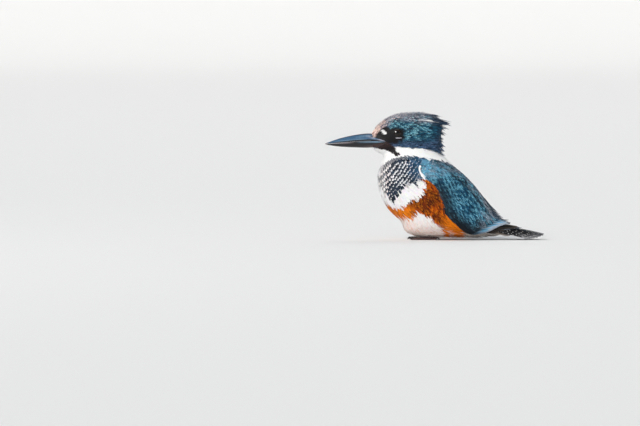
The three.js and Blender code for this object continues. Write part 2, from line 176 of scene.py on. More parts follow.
def make_floor():
    """Floor and backdrop in one sheet: flat under the part, then a long curve up to a plain wall."""
    side, far, bend, top, steps = 12.0, 10.8, 1.6, 6.0, 12
    profile = [(-side, 0.0), (far, 0.0)]
    for step in range(1, steps + 1):
        turn = math.radians(90 * step / steps)
        profile.append((far + bend * math.sin(turn), bend * (1 - math.cos(turn))))
    profile.append((far + bend, top))
    places = [(x, y, z) for y, z in profile for x in (-side, side)]
    faces = [(2 * i, 2 * i + 1, 2 * i + 3, 2 * i + 2) for i in range(len(profile) - 1)]
    mesh = bpy.data.meshes.new("floor")
    mesh.from_pydata(places, [], faces)
    mesh.shade_smooth()
    sheet = bpy.data.objects.new("floor", mesh)
    bpy.context.collection.objects.link(sheet)
    paper, _, shader = new_material("studio paper")
    shader.inputs["Base Color"].default_value = (0.82, 0.82, 0.82, 1)
    shader.inputs["Roughness"].default_value = 0.9
    mesh.materials.append(paper)
    sheet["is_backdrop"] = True


# ---------------------------------------------------------------- smooth curves and lofts


def smooth_through(knots, share):
    """The value at each share, 0 to 1, of a smooth curve through evenly spaced knots."""
    knots = np.asarray(knots, float)
    spread = np.concatenate([[2 * knots[0] - knots[1]], knots, [2 * knots[-1] - knots[-2]]])
    place = np.clip(share, 0, 1) * (len(knots) - 1)
    first = np.minimum(place.astype(int), len(knots) - 2)
    part = place - first
    part = part.reshape(part.shape + (1,) * (knots.ndim - 1))
    a, b, c, d = (spread[first + step] for step in range(4))
    return b + 0.5 * part * (c - a + part * (2 * a - 5 * b + 4 * c - d + part * (3 * (b - c) + d - a)))


def bezier(start, bow, end, share):
    return (1 - share) ** 2 * start + 2 * share * (1 - share) * bow + share**2 * end


def signed_power(value, power):
    return np.sign(value) * np.abs(value) ** power


class Loft:
    """A body, the same on both sides, over ribs (low x, low z, high x, high z, half width)."""

    STEP = 2e-3

    def __init__(self, ribs, squareness, taper=0.0):
        self.ribs = np.array(ribs, float)
        self.power = 1 / squareness
        self.taper = taper

    def rib(self, share):
        return np.moveaxis(smooth_through(self.ribs, share), -1, 0)

    def at(self, share, angle):
        low_x, low_z, high_x, high_z, half = self.rib(share)
        up = signed_power(np.cos(angle), self.power)
        out = signed_power(np.sin(angle), self.power)
        rise = (1 + up) / 2
        x = low_x + (high_x - low_x) * rise
        z = low_z + (high_z - low_z) * rise
        return np.stack([x, half * out * (1 - self.taper * up), z], axis=-1)

    def along(self, share, angle):
        return unit(self.at(share + self.STEP, angle) - self.at(share - self.STEP, angle))

    def normal(self, share, angle):
        around_it = self.at(share, angle + self.STEP) - self.at(share, angle - self.STEP)
        outward = unit(np.cross(self.along(share, angle), around_it))
        middle = (self.at(share, angle * 0) + self.at(share, angle * 0 + math.pi)) / 2
        inside_out = np.sum(outward * (self.at(share, angle) - middle), axis=-1) < 0
        return np.where(inside_out[..., None], -outward, outward)

    def from_side(self, x, z):
        """The share and angle at which a place of the side view lies on the right-hand surface."""
        near = np.full(np.shape(x), 0.02)
        far = np.full(np.shape(x), 0.98)
        for _ in range(30):
            middle = (near + far) / 2
            low_x, low_z, high_x, high_z, _ = self.rib(middle)
            ahead = (x - low_x) * (high_z - low_z) - (z - low_z) * (high_x - low_x) > 0
            near = np.where(ahead, middle, near)
            far = np.where(ahead, far, middle)
        low_x, low_z, high_x, high_z, _ = self.rib(near)
        run_x = high_x - low_x
        run_z = high_z - low_z
        rise = ((x - low_x) * run_x + (z - low_z) * run_z) / (run_x**2 + run_z**2)
        up = np.clip(2 * rise - 1, -0.99, 0.99)
        return near, np.arccos(signed_power(up, 1 / self.power))


HEAD_RIBS = [
    (-69, 113, -69, 115, 2), (-66.5, 105.5, -68, 121.5, 7.5), (-61, 101, -62.5, 128.5, 9.8),
    (-53, 97, -55, 135, 12.6), (-43, 94.5, -45.5, 140.8, 15.6), (-31, 93, -33, 145, 18.3),
    (-17, 92.5, -17, 146.2, 19.8), (-4, 93, -3, 144.6, 19.4), (5, 94.5, 6.5, 140, 16),
    (10.5, 99, 11.5, 135, 10), (12.5, 115, 12.5, 121, 1.5),
]
BODY_RIBS = [
    (-40, 113, -38, 115, 2), (-52, 98, -22, 122, 14), (-58.5, 84, -6, 116, 21.5), (-61, 70, 14, 98, 28),
    (-58, 54, 27, 85.5, 32.5), (-50.5, 38, 38, 76, 35), (-41, 27.5, 47.5, 66.5, 35.5),
    (-33.5, 21, 55.5, 56.5, 34.5), (-27, 8, 62.5, 46, 32.5), (-8, 4.3, 68.5, 37, 29.5),
    (18, 4.3, 73.5, 29.5, 25.5), (40, 4, 78.5, 24, 20.5), (60, 3.6, 84.5, 19, 14.5), (76, 4, 91, 14.8, 9.5),
    (91, 8.6, 94, 10.2, 2),
]
BILL_RIBS = [
    (-121, 109.7, -121, 110.3, 0.3), (-115, 108.3, -114, 112.9, 1.5), (-103, 106.8, -101.5, 117, 3.3),
    (-86, 105.9, -84, 120.7, 5.5), (-70, 105.6, -69.5, 122, 8), (-60, 107, -60, 120, 11),
    (-52, 111, -52, 115.4, 13.4), (-50, 112.8, -50, 113.6, 10),
]
HEAD = Loft(HEAD_RIBS, 1.04, 0.12)
BODY = Loft(BODY_RIBS, 1.04, 0.1)
BILL = Loft(BILL_RIBS, 0.92)
WING_BACK = (0.235, 0.92)  # where on the body's length the wing's back edge starts and ends
WING_BACK_ANGLES = [56, 24, 15, 13, 12, 12, 13, 16]
WING_FRONT = [
    (-11.5, 84), (-8, 73), (6, 62), (12.5, 48), (15.5, 32), (28, 19), (44, 9), (56, 9.5), (67, 12.5),
    (77, 15.5),
]


def wing_at(along, across, side, lift=None):
    """A place on the folded wing: along runs from its bend to its tip, across from the back to its edge."""
    edge = smooth_through(WING_FRONT, along)
    front_share, front_angle = BODY.from_side(edge[..., 0], edge[..., 1])
    back_share = WING_BACK[0] + (WING_BACK[1] - WING_BACK[0]) * along
    back_angle = np.radians(smooth_through(WING_BACK_ANGLES, along))
    share = back_share + (front_share - back_share) * across
    angle = back_angle + (front_angle - back_angle) * across
    if lift is None:
        arch = np.sin(math.pi * np.clip(along, 0, 1)) ** 0.5 * np.sin(math.pi * np.clip(across, 0, 1)) ** 0.6
        lift = 1.0 + 2.5 * arch
    place = BODY.at(share, angle) + BODY.normal(share, angle) * np.asarray(lift)[..., None]
    place[..., 1] *= side
    return place


# ---------------------------------------------------------------- meshes from rings and arrays


def turned_outwards(mesh):
    work = bmesh.new()
    work.from_mesh(mesh)
    bmesh.ops.recalc_face_normals(work, faces=work.faces)
    work.to_mesh(mesh)
    work.free()


def ring_faces(rows, sides, looped=False):
    """Four-sided faces between neighbouring rings, and from the last to the first where they are looped."""
    side = np.arange(sides)
    after = (side + 1) % sides
    row = np.arange(rows if looped else rows - 1)[:, None] * sides
    above = (row + sides) % (rows * sides)
    return np.stack([row + side, row + after, above + after, above + side], axis=-1).reshape(-1, 4)


def closed_rings(rings):
    """Places and faces of a closed tube through rings of places, ended by a fan at each end."""
    rings = np.asarray(rings, float)
    rows, sides = rings.shape[:2]
    places = np.concatenate([rings.reshape(-1, 3), [rings[0].mean(0)], [rings[-1].mean(0)]])
    one = np.arange(sides)
    two = (one + 1) % sides
    last = (rows - 1) * sides
    hub = np.full(sides, rows * sides)
    fans = [np.stack([two, one, hub], axis=-1), np.stack([last + one, last + two, hub + 1], axis=-1)]
    return places, [tuple(face) for faces in (ring_faces(rows, sides), *fans) for face in faces]


def raw_mesh(name, places, faces):
    mesh = bpy.data.meshes.new(name)
    mesh.from_pydata([tuple(place) for place in places], [], faces)
    turned_outwards(mesh)
    return mesh


def joined_shapes(shapes):
    """One list of places and faces from several."""
    faces = []
    count = 0
    for places, some in shapes:
        faces.extend(tuple(corner + count for corner in face) for face in some)
        count += len(places)
    return np.concatenate([shape[0] for shape in shapes]), faces


def add_uv(mesh, name, values, corners):
    layer = mesh.uv_layers.new(name=name)
    layer.data.foreach_set("uv", values[corners].astype(np.float32).ravel())


def add_value(mesh, name, values):
    layer = mesh.attributes.new(name, "FLOAT", "POINT")
    layer.data.foreach_set("value", values.astype(np.float32))


def add_colour(mesh, name, colours):
    """Colours the mesh's places, by one colour for each or one for all."""
    count = len(mesh.vertices)
    solid = np.concatenate([np.broadcast_to(colours, (count, 3)), np.ones((count, 1))], axis=1)
    layer = mesh.color_attributes.new(name, "FLOAT_COLOR", "POINT")
    layer.data.foreach_set("color", solid.astype(np.float32).ravel())


def shown(name, mesh, replaced=()):
    piece = bpy.data.objects.new(name, mesh)
    bpy.context.collection.objects.link(piece)
    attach(piece, "root")
    if replaced:
        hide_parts(*replaced)


def solid_piece(name, shape, tint, finish, replaced=()):
    """Shows a shape, its places and faces, as one smooth piece with a tint and a finish."""
    mesh = raw_mesh(name, in_part(shape[0]), shape[1])
    mesh.shade_smooth()
    add_colour(mesh, "tint", tint)
    mesh.materials.append(finish)
    shown(name, mesh, replaced)


# ---------------------------------------------------------------- skin

HEAD_FORM, BODY_FORM, WING_FORM = range(3)
CAST_CELL = 1.25  # size of the cast skin's faces
WING_LIE = [0.69, 0.0, -0.72]  # how the wing's feathers lie


def grid(rows, columns, first=0.0, last=1.0):
    return np.meshgrid(np.linspace(first, last, rows), np.linspace(0, 1, columns), indexing="ij")


def loft_rings(loft, rows, sides):
    share, turn = grid(rows, sides + 1, 0.004, 0.996)
    share = (share + (1 - np.cos(math.pi * share)) / 2) / 2
    return loft.at(share[:, :-1], turn[:, :-1] * CIRCLE)


WING_BURIED = 1.5  # how deep the wing's inner face lies in the body


def wing_rings(side, rows=60, sides=20):
    along, across = grid(rows, sides, 0.01, 0.99)
    outer = wing_at(along, across, side)
    inner = wing_at(along, across, side, np.full(along.shape, -WING_BURIED))
    return np.concatenate([outer, inner[:, ::-1]], axis=1)


def keep_largest(work):
    """Only the largest connected body of a bmesh stays."""
    unseen = set(work.verts)
    largest = set()
    while unseen:
        queue = [unseen.pop()]
        body = set(queue)
        while queue:
            vertex = queue.pop()
            for edge in vertex.link_edges:
                other = edge.other_vert(vertex)
                if other in unseen:
                    unseen.remove(other)
                    body.add(other)
                    queue.append(other)
        largest = max(largest, body, key=len)
    bmesh.ops.delete(work, geom=[vertex for vertex in work.verts if vertex not in largest], context="VERTS")


def spread_out(values, faces, times):
    """Values at corners, each moved half way to the mean of its neighbours, several times over."""
    count = len(values)
    ends = np.array([(face[i], face[(i + 1) % len(face)]) for face in faces for i in range(len(face))])
    one, two = ends.T
    weight = np.bincount(one, minlength=count).astype(float)
    flat = values.reshape(count, -1)
    for _ in range(times):
        total = np.stack([np.bincount(one, flat[two, i], count) for i in range(flat.shape[1])], axis=-1)
        flat = 0.5 * flat + 0.5 * total / weight[:, None]
    return flat.reshape(values.shape)


class Skin:
    """The body's one skin, with its lie of feathers, its unwrap, and a search for its nearest place."""

    def __init__(self):
        places, self.faces = self.cast()
        places = spread_out(places, self.faces, 7)
        self.form, self.unwrap, flow = self.read_chart(places)
        self.face_corners = np.array([face[:3] for face in self.faces])
        self.depth = spread_out(self.coat_depth(places), self.faces, 10)
        self.places = places - self.normals(places) * self.depth[:, None]
        self.flow = unit(spread_out(flow, self.faces, 14))
        self.tree = BVHTree.FromPolygons([Vector(place) for place in self.places], self.faces)

    @staticmethod
    def cast():
        """Head, body and wings melted into one closed surface of even small faces."""
        rings = (loft_rings(HEAD, 60, 64), loft_rings(BODY, 90, 80), wing_rings(1), wing_rings(-1))
        shapes = [closed_rings(some) for some in rings]
        mesh = raw_mesh("casting", *joined_shapes([(places * MM, faces) for places, faces in shapes]))
        casting = bpy.data.objects.new("casting", mesh)
        bpy.context.collection.objects.link(casting)
        melt = casting.modifiers.new("melt", "REMESH")
        melt.mode = "VOXEL"
        melt.voxel_size = CAST_CELL * MM
        cast = evaluated_mesh(casting)
        work = bmesh.new()
        work.from_mesh(cast)
        keep_largest(work)
        work.verts.index_update()
        places = np.array([vertex.co[:] for vertex in work.verts]) / MM
        faces = [tuple(corner.index for corner in face.verts) for face in work.faces]
        work.free()
        bpy.data.objects.remove(casting)
        bpy.data.meshes.remove(cast)
        bpy.data.meshes.remove(mesh)
        return places, faces

    @staticmethod
    def read_chart(places):
        """The form, unwrap and lie of feathers at places, from the nearest of many known ones."""
        known = []
        for form, loft in ((HEAD_FORM, HEAD), (BODY_FORM, BODY)):
            share, turn = grid(110, 97, 0.01, 0.99)
            angle = (turn - 0.5) * CIRCLE
            place = loft.at(share, angle)
            lie = loft.along(share, angle)
            if form == BODY_FORM:
                breast = ease(52, 74, place[..., 2]) * ease(18, -6, place[..., 0])
                lie = unit(lie + 1.0 * breast[..., None] * [1, 0, 0])
            known.append((form, place, turn, share, lie))
        for side, _ in SIDES:
            along, across = grid(80, 40, 0.02, 0.98)
            lie = np.broadcast_to(WING_LIE, along.shape + (3,))
            turn = 0.5 + side * (0.03 + 0.44 * across)
            known.append((WING_FORM, wing_at(along, across, side), turn, along, lie))
        finder = KDTree(sum(chart[2].size for chart in known))
        marks = np.concatenate([place.reshape(-1, 3) for _, place, *_ in known])
        for number, mark in enumerate(marks):
            finder.insert(mark, number)
        finder.balance()
        nearest = np.array([finder.find(place)[1] for place in places])
        forms = np.concatenate([np.full(turn.size, form) for form, _, turn, *_ in known])
        unwrap = [np.stack([turn, share], axis=-1).reshape(-1, 2) for _, _, turn, share, _ in known]
        flow = np.concatenate([lie.reshape(-1, 3) for *_, lie in known])
        return forms[nearest], np.concatenate(unwrap)[nearest], flow[nearest]

    def normals(self, places):
        a, b, c = (places[self.face_corners[:, i]] for i in range(3))
        normal = np.cross(b - a, c - a)
        total = np.zeros_like(places)
        for corners in self.face_corners.T:
            for axis in range(3):
                total[:, axis] += np.bincount(corners, normal[:, axis], len(places))
        return unit(total)

    def coat_depth(self, places):
        x, _, z = places.T
        face = ease(-26, -44, x) * ease(96, 103, z)
        on_head = COAT_DEPTH["crown"] + (COAT_DEPTH["face"] - COAT_DEPTH["crown"]) * face
        on_head = on_head + 0.5 * ease(128, 136, z) * (1 - face)
        elsewhere = np.where(self.form == WING_FORM, COAT_DEPTH["wing"], COAT_DEPTH["body"])
        return np.where(self.form == HEAD_FORM, on_head, elsewhere)

    def nearest(self, places):
        """For each place: the skin's nearest place, its normal, and the corner that stands for it."""
        found = [self.tree.find_nearest(Vector(place)) for place in places]
        at, normal = (np.array([hit[i][:] for hit in found]) for i in (0, 1))
        return at, normal, self.face_corners[np.array([hit[2] for hit in found]), 0]

    def heading_at(self, normal, corner):
        """The lie of feathers at corners of the skin, laid flat on it."""
        return square_to(self.flow[corner], normal)


def evaluated_mesh(piece):
    graph = bpy.context.evaluated_depsgraph_get()
    graph.update()
    return bpy.data.meshes.new_from_object(piece.evaluated_get(graph))


# ---------------------------------------------------------------- markings

# Some of these are painted light or shade: the forehead's pinkish glare, the light teal and cheek colours and
# the bill's pale blue and pale white are painted highlights, and the grey-beige undertail is white feathers
# in painted shade.
SCREEN = {
    "crown": (52, 70, 88), "crown_streak": (220, 218, 228), "brow": (58, 60, 84),
    "forehead_glare": (252, 218, 206), "forehead_dark": (112, 66, 62), "teal": (22, 74, 96),
    "teal_highlight": (150, 214, 226), "cheek": (46, 72, 98), "cheek_highlight": (104, 122, 156),
    "nape": (34, 52, 74), "lores": (20, 19, 23), "chin": (74, 52, 50), "white": (251, 251, 250),
    "warm_white": (241, 239, 240), "belly": (247, 224, 212), "band": (30, 44, 60),
    "band_blue": (44, 82, 112), "band_edge": (238, 238, 242), "rufous": (172, 72, 0),
    "rufous_light": (255, 140, 8), "wing": (18, 74, 104), "wing_edge": (122, 196, 222),
    "wing_dark": (24, 38, 48), "shoulder": (102, 162, 194), "mantle": (62, 84, 104),
    "mantle_edge": (176, 182, 192), "undertail_in_shade": (176, 160, 146), "quill": (34, 33, 35),
    "tail_blue": (44, 52, 62), "tail_dark": (26, 26, 29), "tail_bar": (226, 224, 222),
    "horn_steel": (56, 94, 126), "horn_dark": (16, 18, 22), "horn_sheen": (104, 134, 156),
    "gape": (84, 52, 52), "horn_pale": (150, 140, 146), "highlight_white": (206, 206, 222), "pupil": (4, 4, 4),
    "iris_inner": (22, 14, 11), "iris": (42, 27, 20), "eye_rim": (8, 7, 7), "lid": (15, 14, 16),
    "toe_low": (92, 66, 62), "toe_top": (54, 42, 42), "shank": (84, 62, 60), "talon": (30, 27, 27),
    "scute": (60, 46, 46),
}
INK = {name: linear(colour) for name, colour in SCREEN.items()}

# Outlines and lines of the markings, and of some painted sunlight, in the side view.
COLLAR_TOP = [
    (-80, 104), (-66, 105), (-55, 106), (-44.6, 107), (-30.5, 106.4), (-15, 105.3), (-2.3, 103.3), (8, 100.1),
    (15.5, 96.6), (40, 84),
]
COLLAR_FOOT = [
    (-80, 70), (-61, 76), (-57.5, 84), (-49.8, 90.6), (-43.3, 93.6), (-30.5, 95.8), (-17.7, 96), (-4.8, 94.6),
    (8, 92.4), (16, 90), (40, 80),
]
MASK = [
    (-63, 118), (-60.5, 120.4), (-58, 125), (-55, 128.2), (-51, 129), (-45, 127.8), (-38, 129.4), (-31, 128),
    (-28.2, 124.4), (-29.6, 119.6), (-32.4, 115), (-37.5, 112.2), (-44, 111), (-49, 110.6), (-56, 109),
    (-63, 109.5),
]
LORAL_SPOT = [
    (-56.2, 126.6), (-54.4, 126.2), (-51.8, 125), (-50, 123.2), (-50.5, 121.6), (-52.8, 121), (-54.5, 122.1),
    (-55.8, 124.4),
]
CRESCENT = [(-38.9, 117.9), (-36, 117.5), (-32.9, 117.9), (-33.3, 116.9), (-36, 116.5), (-38.5, 116.8)]
# Where the forehead's pinkish glare of painted sunlight lies.
FOREHEAD = [
    (-72, 116), (-62, 118.8), (-59.2, 122), (-57.2, 126.8), (-52.6, 132), (-50.6, 136), (-56, 141),
    (-72, 131),
]
CREST_GAP = [(-12, 138.4), (-4, 138.0), (7, 136.4), (7, 135.4), (-4, 136.7), (-11, 137.4)]
# Where pale streaks of painted sunlight lie along the top of the forehead and crown.
SUNLIT_CROWN_EDGE = [
    (-64, 122), (-57, 126.5), (-50.5, 131.5), (-43, 136.5), (-34, 139.5), (-20, 141.6), (-20, 152),
    (-64, 150),
]
CHIN = [(-76, 104), (-76, 113), (-60, 112.5), (-49, 111), (-49, 108.6), (-56, 107.2), (-64, 105.4)]
MALAR = [
    (-62, 106.4), (-52, 110.2), (-46, 110.4), (-41.5, 107), (-35, 97.6), (-38.5, 96.4), (-44.5, 100),
    (-50, 102.8), (-58, 103.6),
]
BAND = [
    (-70, 80), (-58.5, 84), (-50, 91), (-43.3, 95), (-30.5, 97), (-17.7, 98), (-4, 96), (-5, 87), (-11.6, 83),
    (-12.8, 77), (-9.4, 71.2), (-12.5, 69.2), (-14.6, 66), (-15.9, 61.6), (-17.4, 66.2), (-22, 66.8),
    (-26, 63.6), (-30, 59.8), (-35, 55.4), (-40, 46.4), (-44.4, 42.2), (-51.6, 51), (-56, 57.5), (-70, 60),
]
RUFOUS = [
    (-60, 43.5), (-49.7, 41), (-43.3, 36.6), (-35.6, 36.8), (-26.7, 40.5), (-19, 46.5), (-12.5, 47),
    (-7.5, 55), (-6.8, 63), (-10, 71), (0.3, 70), (12, 66), (22, 40), (38, 22), (39.5, 12), (35, -6),
    (19, -6), (13, 10), (7.5, 17), (1.5, 24.5), (-6, 29), (-12.6, 32.2), (-20.2, 25.8), (-31.8, 24.6),
    (-39.5, 26.4), (-46, 31), (-60, 35),
]
WING_LINE = [(-12.9, 85.5), (-13.3, 82.5), (-12.6, 79.6), (-11, 76.6), (-9.2, 74), (-7.4, 71.8)]
BACK_LINE = [(-20, 105), (14, 95), (38, 76), (50, 63), (62, 47), (75, 30), (92, 15)]
UPPER_PARTS = [(-4, 120), (-4, 93), (-12, 90)] + WING_FRONT + [(86, 13.5), (130, 13.5), (130, 120)]


def toned(first, second, share):
    """A blend of two colours, each given as it is or by its name."""
    return blend(*(INK[colour] if isinstance(colour, str) else colour for colour in (first, second)), share)


def height_of(line, x):
    return np.interp(x, *np.transpose(line))


def depth_within(x, z, outline):
    """How far inside a closed outline of the side view each place lies, negative outside it."""
    points = np.array(outline, float)
    nearest = np.full(np.shape(x), 1e9)
    inside = np.zeros(np.shape(x), bool)
    for (x0, z0), (x1, z1) in zip(points, np.roll(points, -1, axis=0)):
        run_x, run_z = x1 - x0, z1 - z0
        share = np.clip(((x - x0) * run_x + (z - z0) * run_z) / (run_x**2 + run_z**2), 0, 1)
        nearest = np.minimum(nearest, np.hypot(x - x0 - share * run_x, z - z0 - share * run_z))
        if z0 != z1:
            crossed = (z0 > z) != (z1 > z)
            inside ^= crossed & (x < x0 + (z - z0) * run_x / run_z)
    return np.where(inside, nearest, -nearest)


def slanted(places, x_to_x, x_to_z, z_to_x, z_to_z):
    """Places sheared in the side view, so that a ripple over them runs along the feathers."""
    return places @ [[x_to_x, 0, x_to_z], [0, 1, 0], [z_to_x, 0, z_to_z]]


def band_colours(places):
    x, _, z = places.T
    # Painted sunlight: towards the front the edging takes the forehead's pinkish glare colour and is wider.
    front = ease(-40, -54, x)
    edging = toned("band_edge", INK["forehead_glare"] * 1.1, 0.35 * front)
    edging = toned(edging, INK["band_blue"] * 2.4, ease(-30, -12, x) * ease(66, 84, z) * 0.7)
    ground = toned("band", "band_blue", 0.9 * (ease(-32, -14, x) * ease(62, 80, z)))
    low = ease(64, 52, z + 0.5 * (x + 30)) * ease(-55, -47, x)
    rim = 0.22 * ease(-34, -16, x) - 0.34 * front - 0.04 + 0.3 * low
    return ground, edging, rim


def rufous_colours(places):
    x, _, z = places.T
    lie = slanted(places, 0.75, 0.5, 0.35, -0.2)
    # Painted sunlight: the rufous is lighter, with fewer dark streaks, low at the front and low behind.
    painted_sunlight = np.maximum(ease(46, 34, z) * ease(-14, -26, x), ease(34, 20, z) * ease(6, 20, x))
    high = ease(56, 66, z)
    deep = ease(-0.7, 0.3, ripple(lie, 4.6, 8)) * (1 - 0.65 * painted_sunlight - 0.35 * high)
    core = ease(34, 44, z) * ease(66, 54, z) * ease(-26, -14, x)
    ground = toned("rufous", "rufous_light", 0.9 * painted_sunlight + 0.1 * high)
    ground = toned(ground * [1.0, 0.94, 0.7], INK["rufous"] * 0.18, deep)
    ground = toned(ground, ground * 0.6, core)
    # Random patches where the edging is darker, fewer where the painted sunlight falls.
    darker_edging = ease(-0.5, 0.4, ripple(lie, 3.2, 9)) * (1 - 0.5 * painted_sunlight)
    edging = toned("rufous_light", INK["rufous"] * 0.7, darker_edging * (1 - 0.4 * painted_sunlight))
    edging = toned(edging, edging * 0.7, core)
    frayed = ease(26, 14, z + 0.5 * x) * ease(-24, -4, x) * ease(0.0, 0.4, ripple(lie, 4.2, 12))
    return ground, edging, frayed


def wing_colours(places, wander):
    x, _, z = places.T
    # Painted shade: the wing is darker towards its lower edge, with fewer highlights.
    below = ease(19, 4, depth_within(x, z, UPPER_PARTS)) * ease(78, 52, z) * ease(80, 56, x)
    lie = slanted(places, 0.7, 0.32, 0.32, 0.62)
    # Painted sunlight: the wing's top, towards the back, is lighter, in the shoulder colour and with paler
    # edging.
    raised = ease(62, 84, z - 0.35 * x)
    # Painted highlights: random bright streaks, more on the sunlit top and fewer low on the wing, lighten its
    # ground and edging.
    bright = ripple(lie, 2.3, 31) + 0.4 * ripple(places, 13, 32) + 0.3 * raised
    painted_highlights = ease(-0.4, 0.8, bright) * (1 - 0.85 * below)
    under_back = height_of(BACK_LINE, x) - z
    back = ease(12, 4, under_back)
    # Painted shade: a dark line in the crease between the back's feathers and the wing.
    crease_shade = ease(3.2, 0.8, np.abs(under_back - 10.5 + wander)) * ease(-2, 8, x) * ease(76, 60, x)
    ground = toned("wing", "wing_dark", below)
    ground = toned(ground, "shoulder", raised * 0.85)
    ground = toned(ground, "wing_edge", 0.35 * painted_highlights**2)
    ground = toned(ground, "wing_dark", 0.8 * ease(0.0, 0.8, ripple(lie, 2.1, 14)) * (1 - 0.3 * raised))
    ground = toned(ground, "wing_dark", 0.5 * ease(0.2, 1.0, ripple(places, 15, 17)))
    ground = toned(ground, toned("mantle", "wing_dark", ease(-0.2, 0.5, ripple(lie, 4, 15))), back)
    ground = toned(ground, INK["wing_dark"] * 0.8, 0.75 * crease_shade)
    edging = toned(ground * 1.5, "wing_edge", painted_highlights * (1 - 0.8 * crease_shade))
    edging = toned(edging, "mantle_edge", 0.7 * ease(50, 66, x) * ease(-0.4, 0.4, ripple(lie, 5, 19)))
    edging = toned(edging, "mantle_edge", 0.7 * raised * ease(-0.2, 0.5, ripple(lie, 3, 37)))
    return ground, toned(edging, "mantle_edge", back * ease(-0.3, 0.5, ripple(lie, 5, 16)))


def head_colours(places, fine):
    x, _, z = places.T
    lie = places * [0.55, 1, 1.3]
    level = z + 0.12 * x
    # Painted highlights: random bright streaks lighten the ground, with edging in light teal on the side of
    # the head and pale blue on the cheek.
    painted_highlights = ease(-0.4, 0.8, ripple(lie, 2.6, 33) + 0.4 * ripple(places, 11, 34))
    ground = toned("teal", "nape", ease(-2, 16, x + 0.4 * (118 - z)))
    ground = toned(ground, "cheek", ease(119, 109, z))
    ground = toned(ground, "crown", ease(129, 137, level))
    ground = toned(ground, "brow", 0.85 * ease(-43, -50, x))
    ground = toned(ground, ground * 2.6, 0.5 * painted_highlights**2)
    ground = toned(ground, INK["nape"] * 0.5, 0.85 * ease(-0.1, 0.7, ripple(lie, 3.4, 18)))
    edging = toned(ground * 1.5, "teal_highlight", painted_highlights * ease(6, -10, x) * ease(-52, -44, x) * ease(112, 118, z))
    edging = toned(edging, "cheek_highlight", 0.7 * painted_highlights * ease(117, 110, z))
    # Painted sunlight: pale streaks on the top of the crown, but not at its back.
    sunlit_crown_streaks = 0.9 * ease(130, 137, level) * ease(-0.7, 0.3, fine) * ease(8, -12, x)
    return ground, toned(edging, "crown_streak", sunlit_crown_streaks)


def markings(places, spread=0.0):
    """Ground colour, edging and the edging's shift towards the tip at each place, in linear light, with
    painted light and shade among the markings.
    """
    x, y, z = places.T
    wander = ripple(places, 9, 3) * 1.1 + ripple(places, 4, 4) * 0.7 + spread
    fine = ripple(places * [1, 1, 1.6], 2.6, 5)
    coat = ["warm_white", "white"]

    def within(outline, soft=0.8, stray=1.0):
        return ease(-soft, soft, depth_within(x, z, outline) + wander * stray)

    def paint(share, *colours):
        coat[:] = [toned(under, over, share) for under, over in zip(coat, colours)]

    flushed = ease(0.1, 0.8, ripple(slanted(places, 0.8, 0.5, 0.4, -0.6), 3.4, 40))
    belly = toned("belly", INK["belly"] * [0.82, 0.62, 0.56], 0.8 * flushed)
    paint(ease(34, 14, z + 0.25 * (x + 30)) * ease(70, 30, x), belly, "warm_white")
    # Painted shade: the white undertail takes a grey-beige.
    paint(ease(34, 48, x) * ease(30, 16, z), "undertail_in_shade", "warm_white")
    ground, edging, rim = band_colours(places)
    middle = ease(-46, -60, x) * ease(26, 8, np.abs(y))
    band = within(BAND) * (1 - middle * (0.3 + 0.7 * ease(0.0, 0.5, fine)))
    paint(band, ground, edging)
    ground, edging, frayed = rufous_colours(places)
    paint(within(RUFOUS) * (1 - frayed), ground, edging)
    paint(within(UPPER_PARTS, 0.5, 0.12), *wing_colours(places, wander))
    paint(ease(-0.7, 0.7, z - (height_of(COLLAR_FOOT, x) + wander * 0.5)), "white", "white")
    paint(ease(-0.7, 0.7, z - (height_of(COLLAR_TOP, x) + wander * 0.5)), *head_colours(places, fine))
    # Painted sunlight: pale streaks in the pinkish glare colour along the top of the forehead and crown.
    sunlit_crown_edge = within(SUNLIT_CROWN_EDGE, 1.5, 0.8) * ease(-0.4, 0.3, fine) * ease(-14, -40, x)
    dull = ease(0.0, 0.4, ripple(slanted(places, 0.8, 0.5, 0.5, -0.6), 2.6, 35))
    dark_streak = ease(-1.5, -1.2, ripple(slanted(places, 0.7, 0.5, 0.5, -0.3), 3.0, 21))
    for share, ground, edging in (
        (sunlit_crown_edge * 0.85, "crown_streak", "forehead_glare"),
        # Painted sunlight: the forehead's pinkish glare, broken by darker streaks.
        (within(FOREHEAD, 1.4, 1.1), toned("forehead_glare", "forehead_dark", 0.9 * dull), "forehead_glare"),
        (within(CREST_GAP, 0.4, 0.3) * 0.9, "white", "white"),
        (within(MASK, 1.4, 0.7), "lores", "lores"),
        (within(CHIN, 0.8, 0.5), "chin", "lores"),
        (within(MALAR, 0.5, 0.5) * dark_streak, "lores", "chin"),
        (within(LORAL_SPOT, 0.4, 0.1), "white", "white"),
        (within(CRESCENT, 0.25, 0.0), "crown_streak", "crown_streak"),
    ):
        paint(share, ground, edging)
    return *coat, band * rim


# ---------------------------------------------------------------- feathers

# Where each row of a feather lies from root to tip, and its half widths there as shares of its widest.
ROWS = np.array([0, 0.2, 0.45, 0.66, 0.83, 0.94])
ROWS_AND_TIP = np.append(ROWS, 1.0)
OUTLINES = {
    "round": np.array([0.35, 0.8, 1, 0.98, 0.8, 0.5]),
    "soft": np.array([0.45, 0.85, 1, 0.85, 0.55, 0.25]),
    "pointed": np.array([0.4, 0.85, 1, 0.8, 0.5, 0.22]),
}
CORNERS = 4 * len(ROWS) + 1  # each row's left edge, ridge, right edge and underside, and the tip
TIP = CORNERS - 1
LOWEST = 0.12  # no feather reaches nearer to the floor
PATCH = 0.003  # width of a feather's place on the unwrap


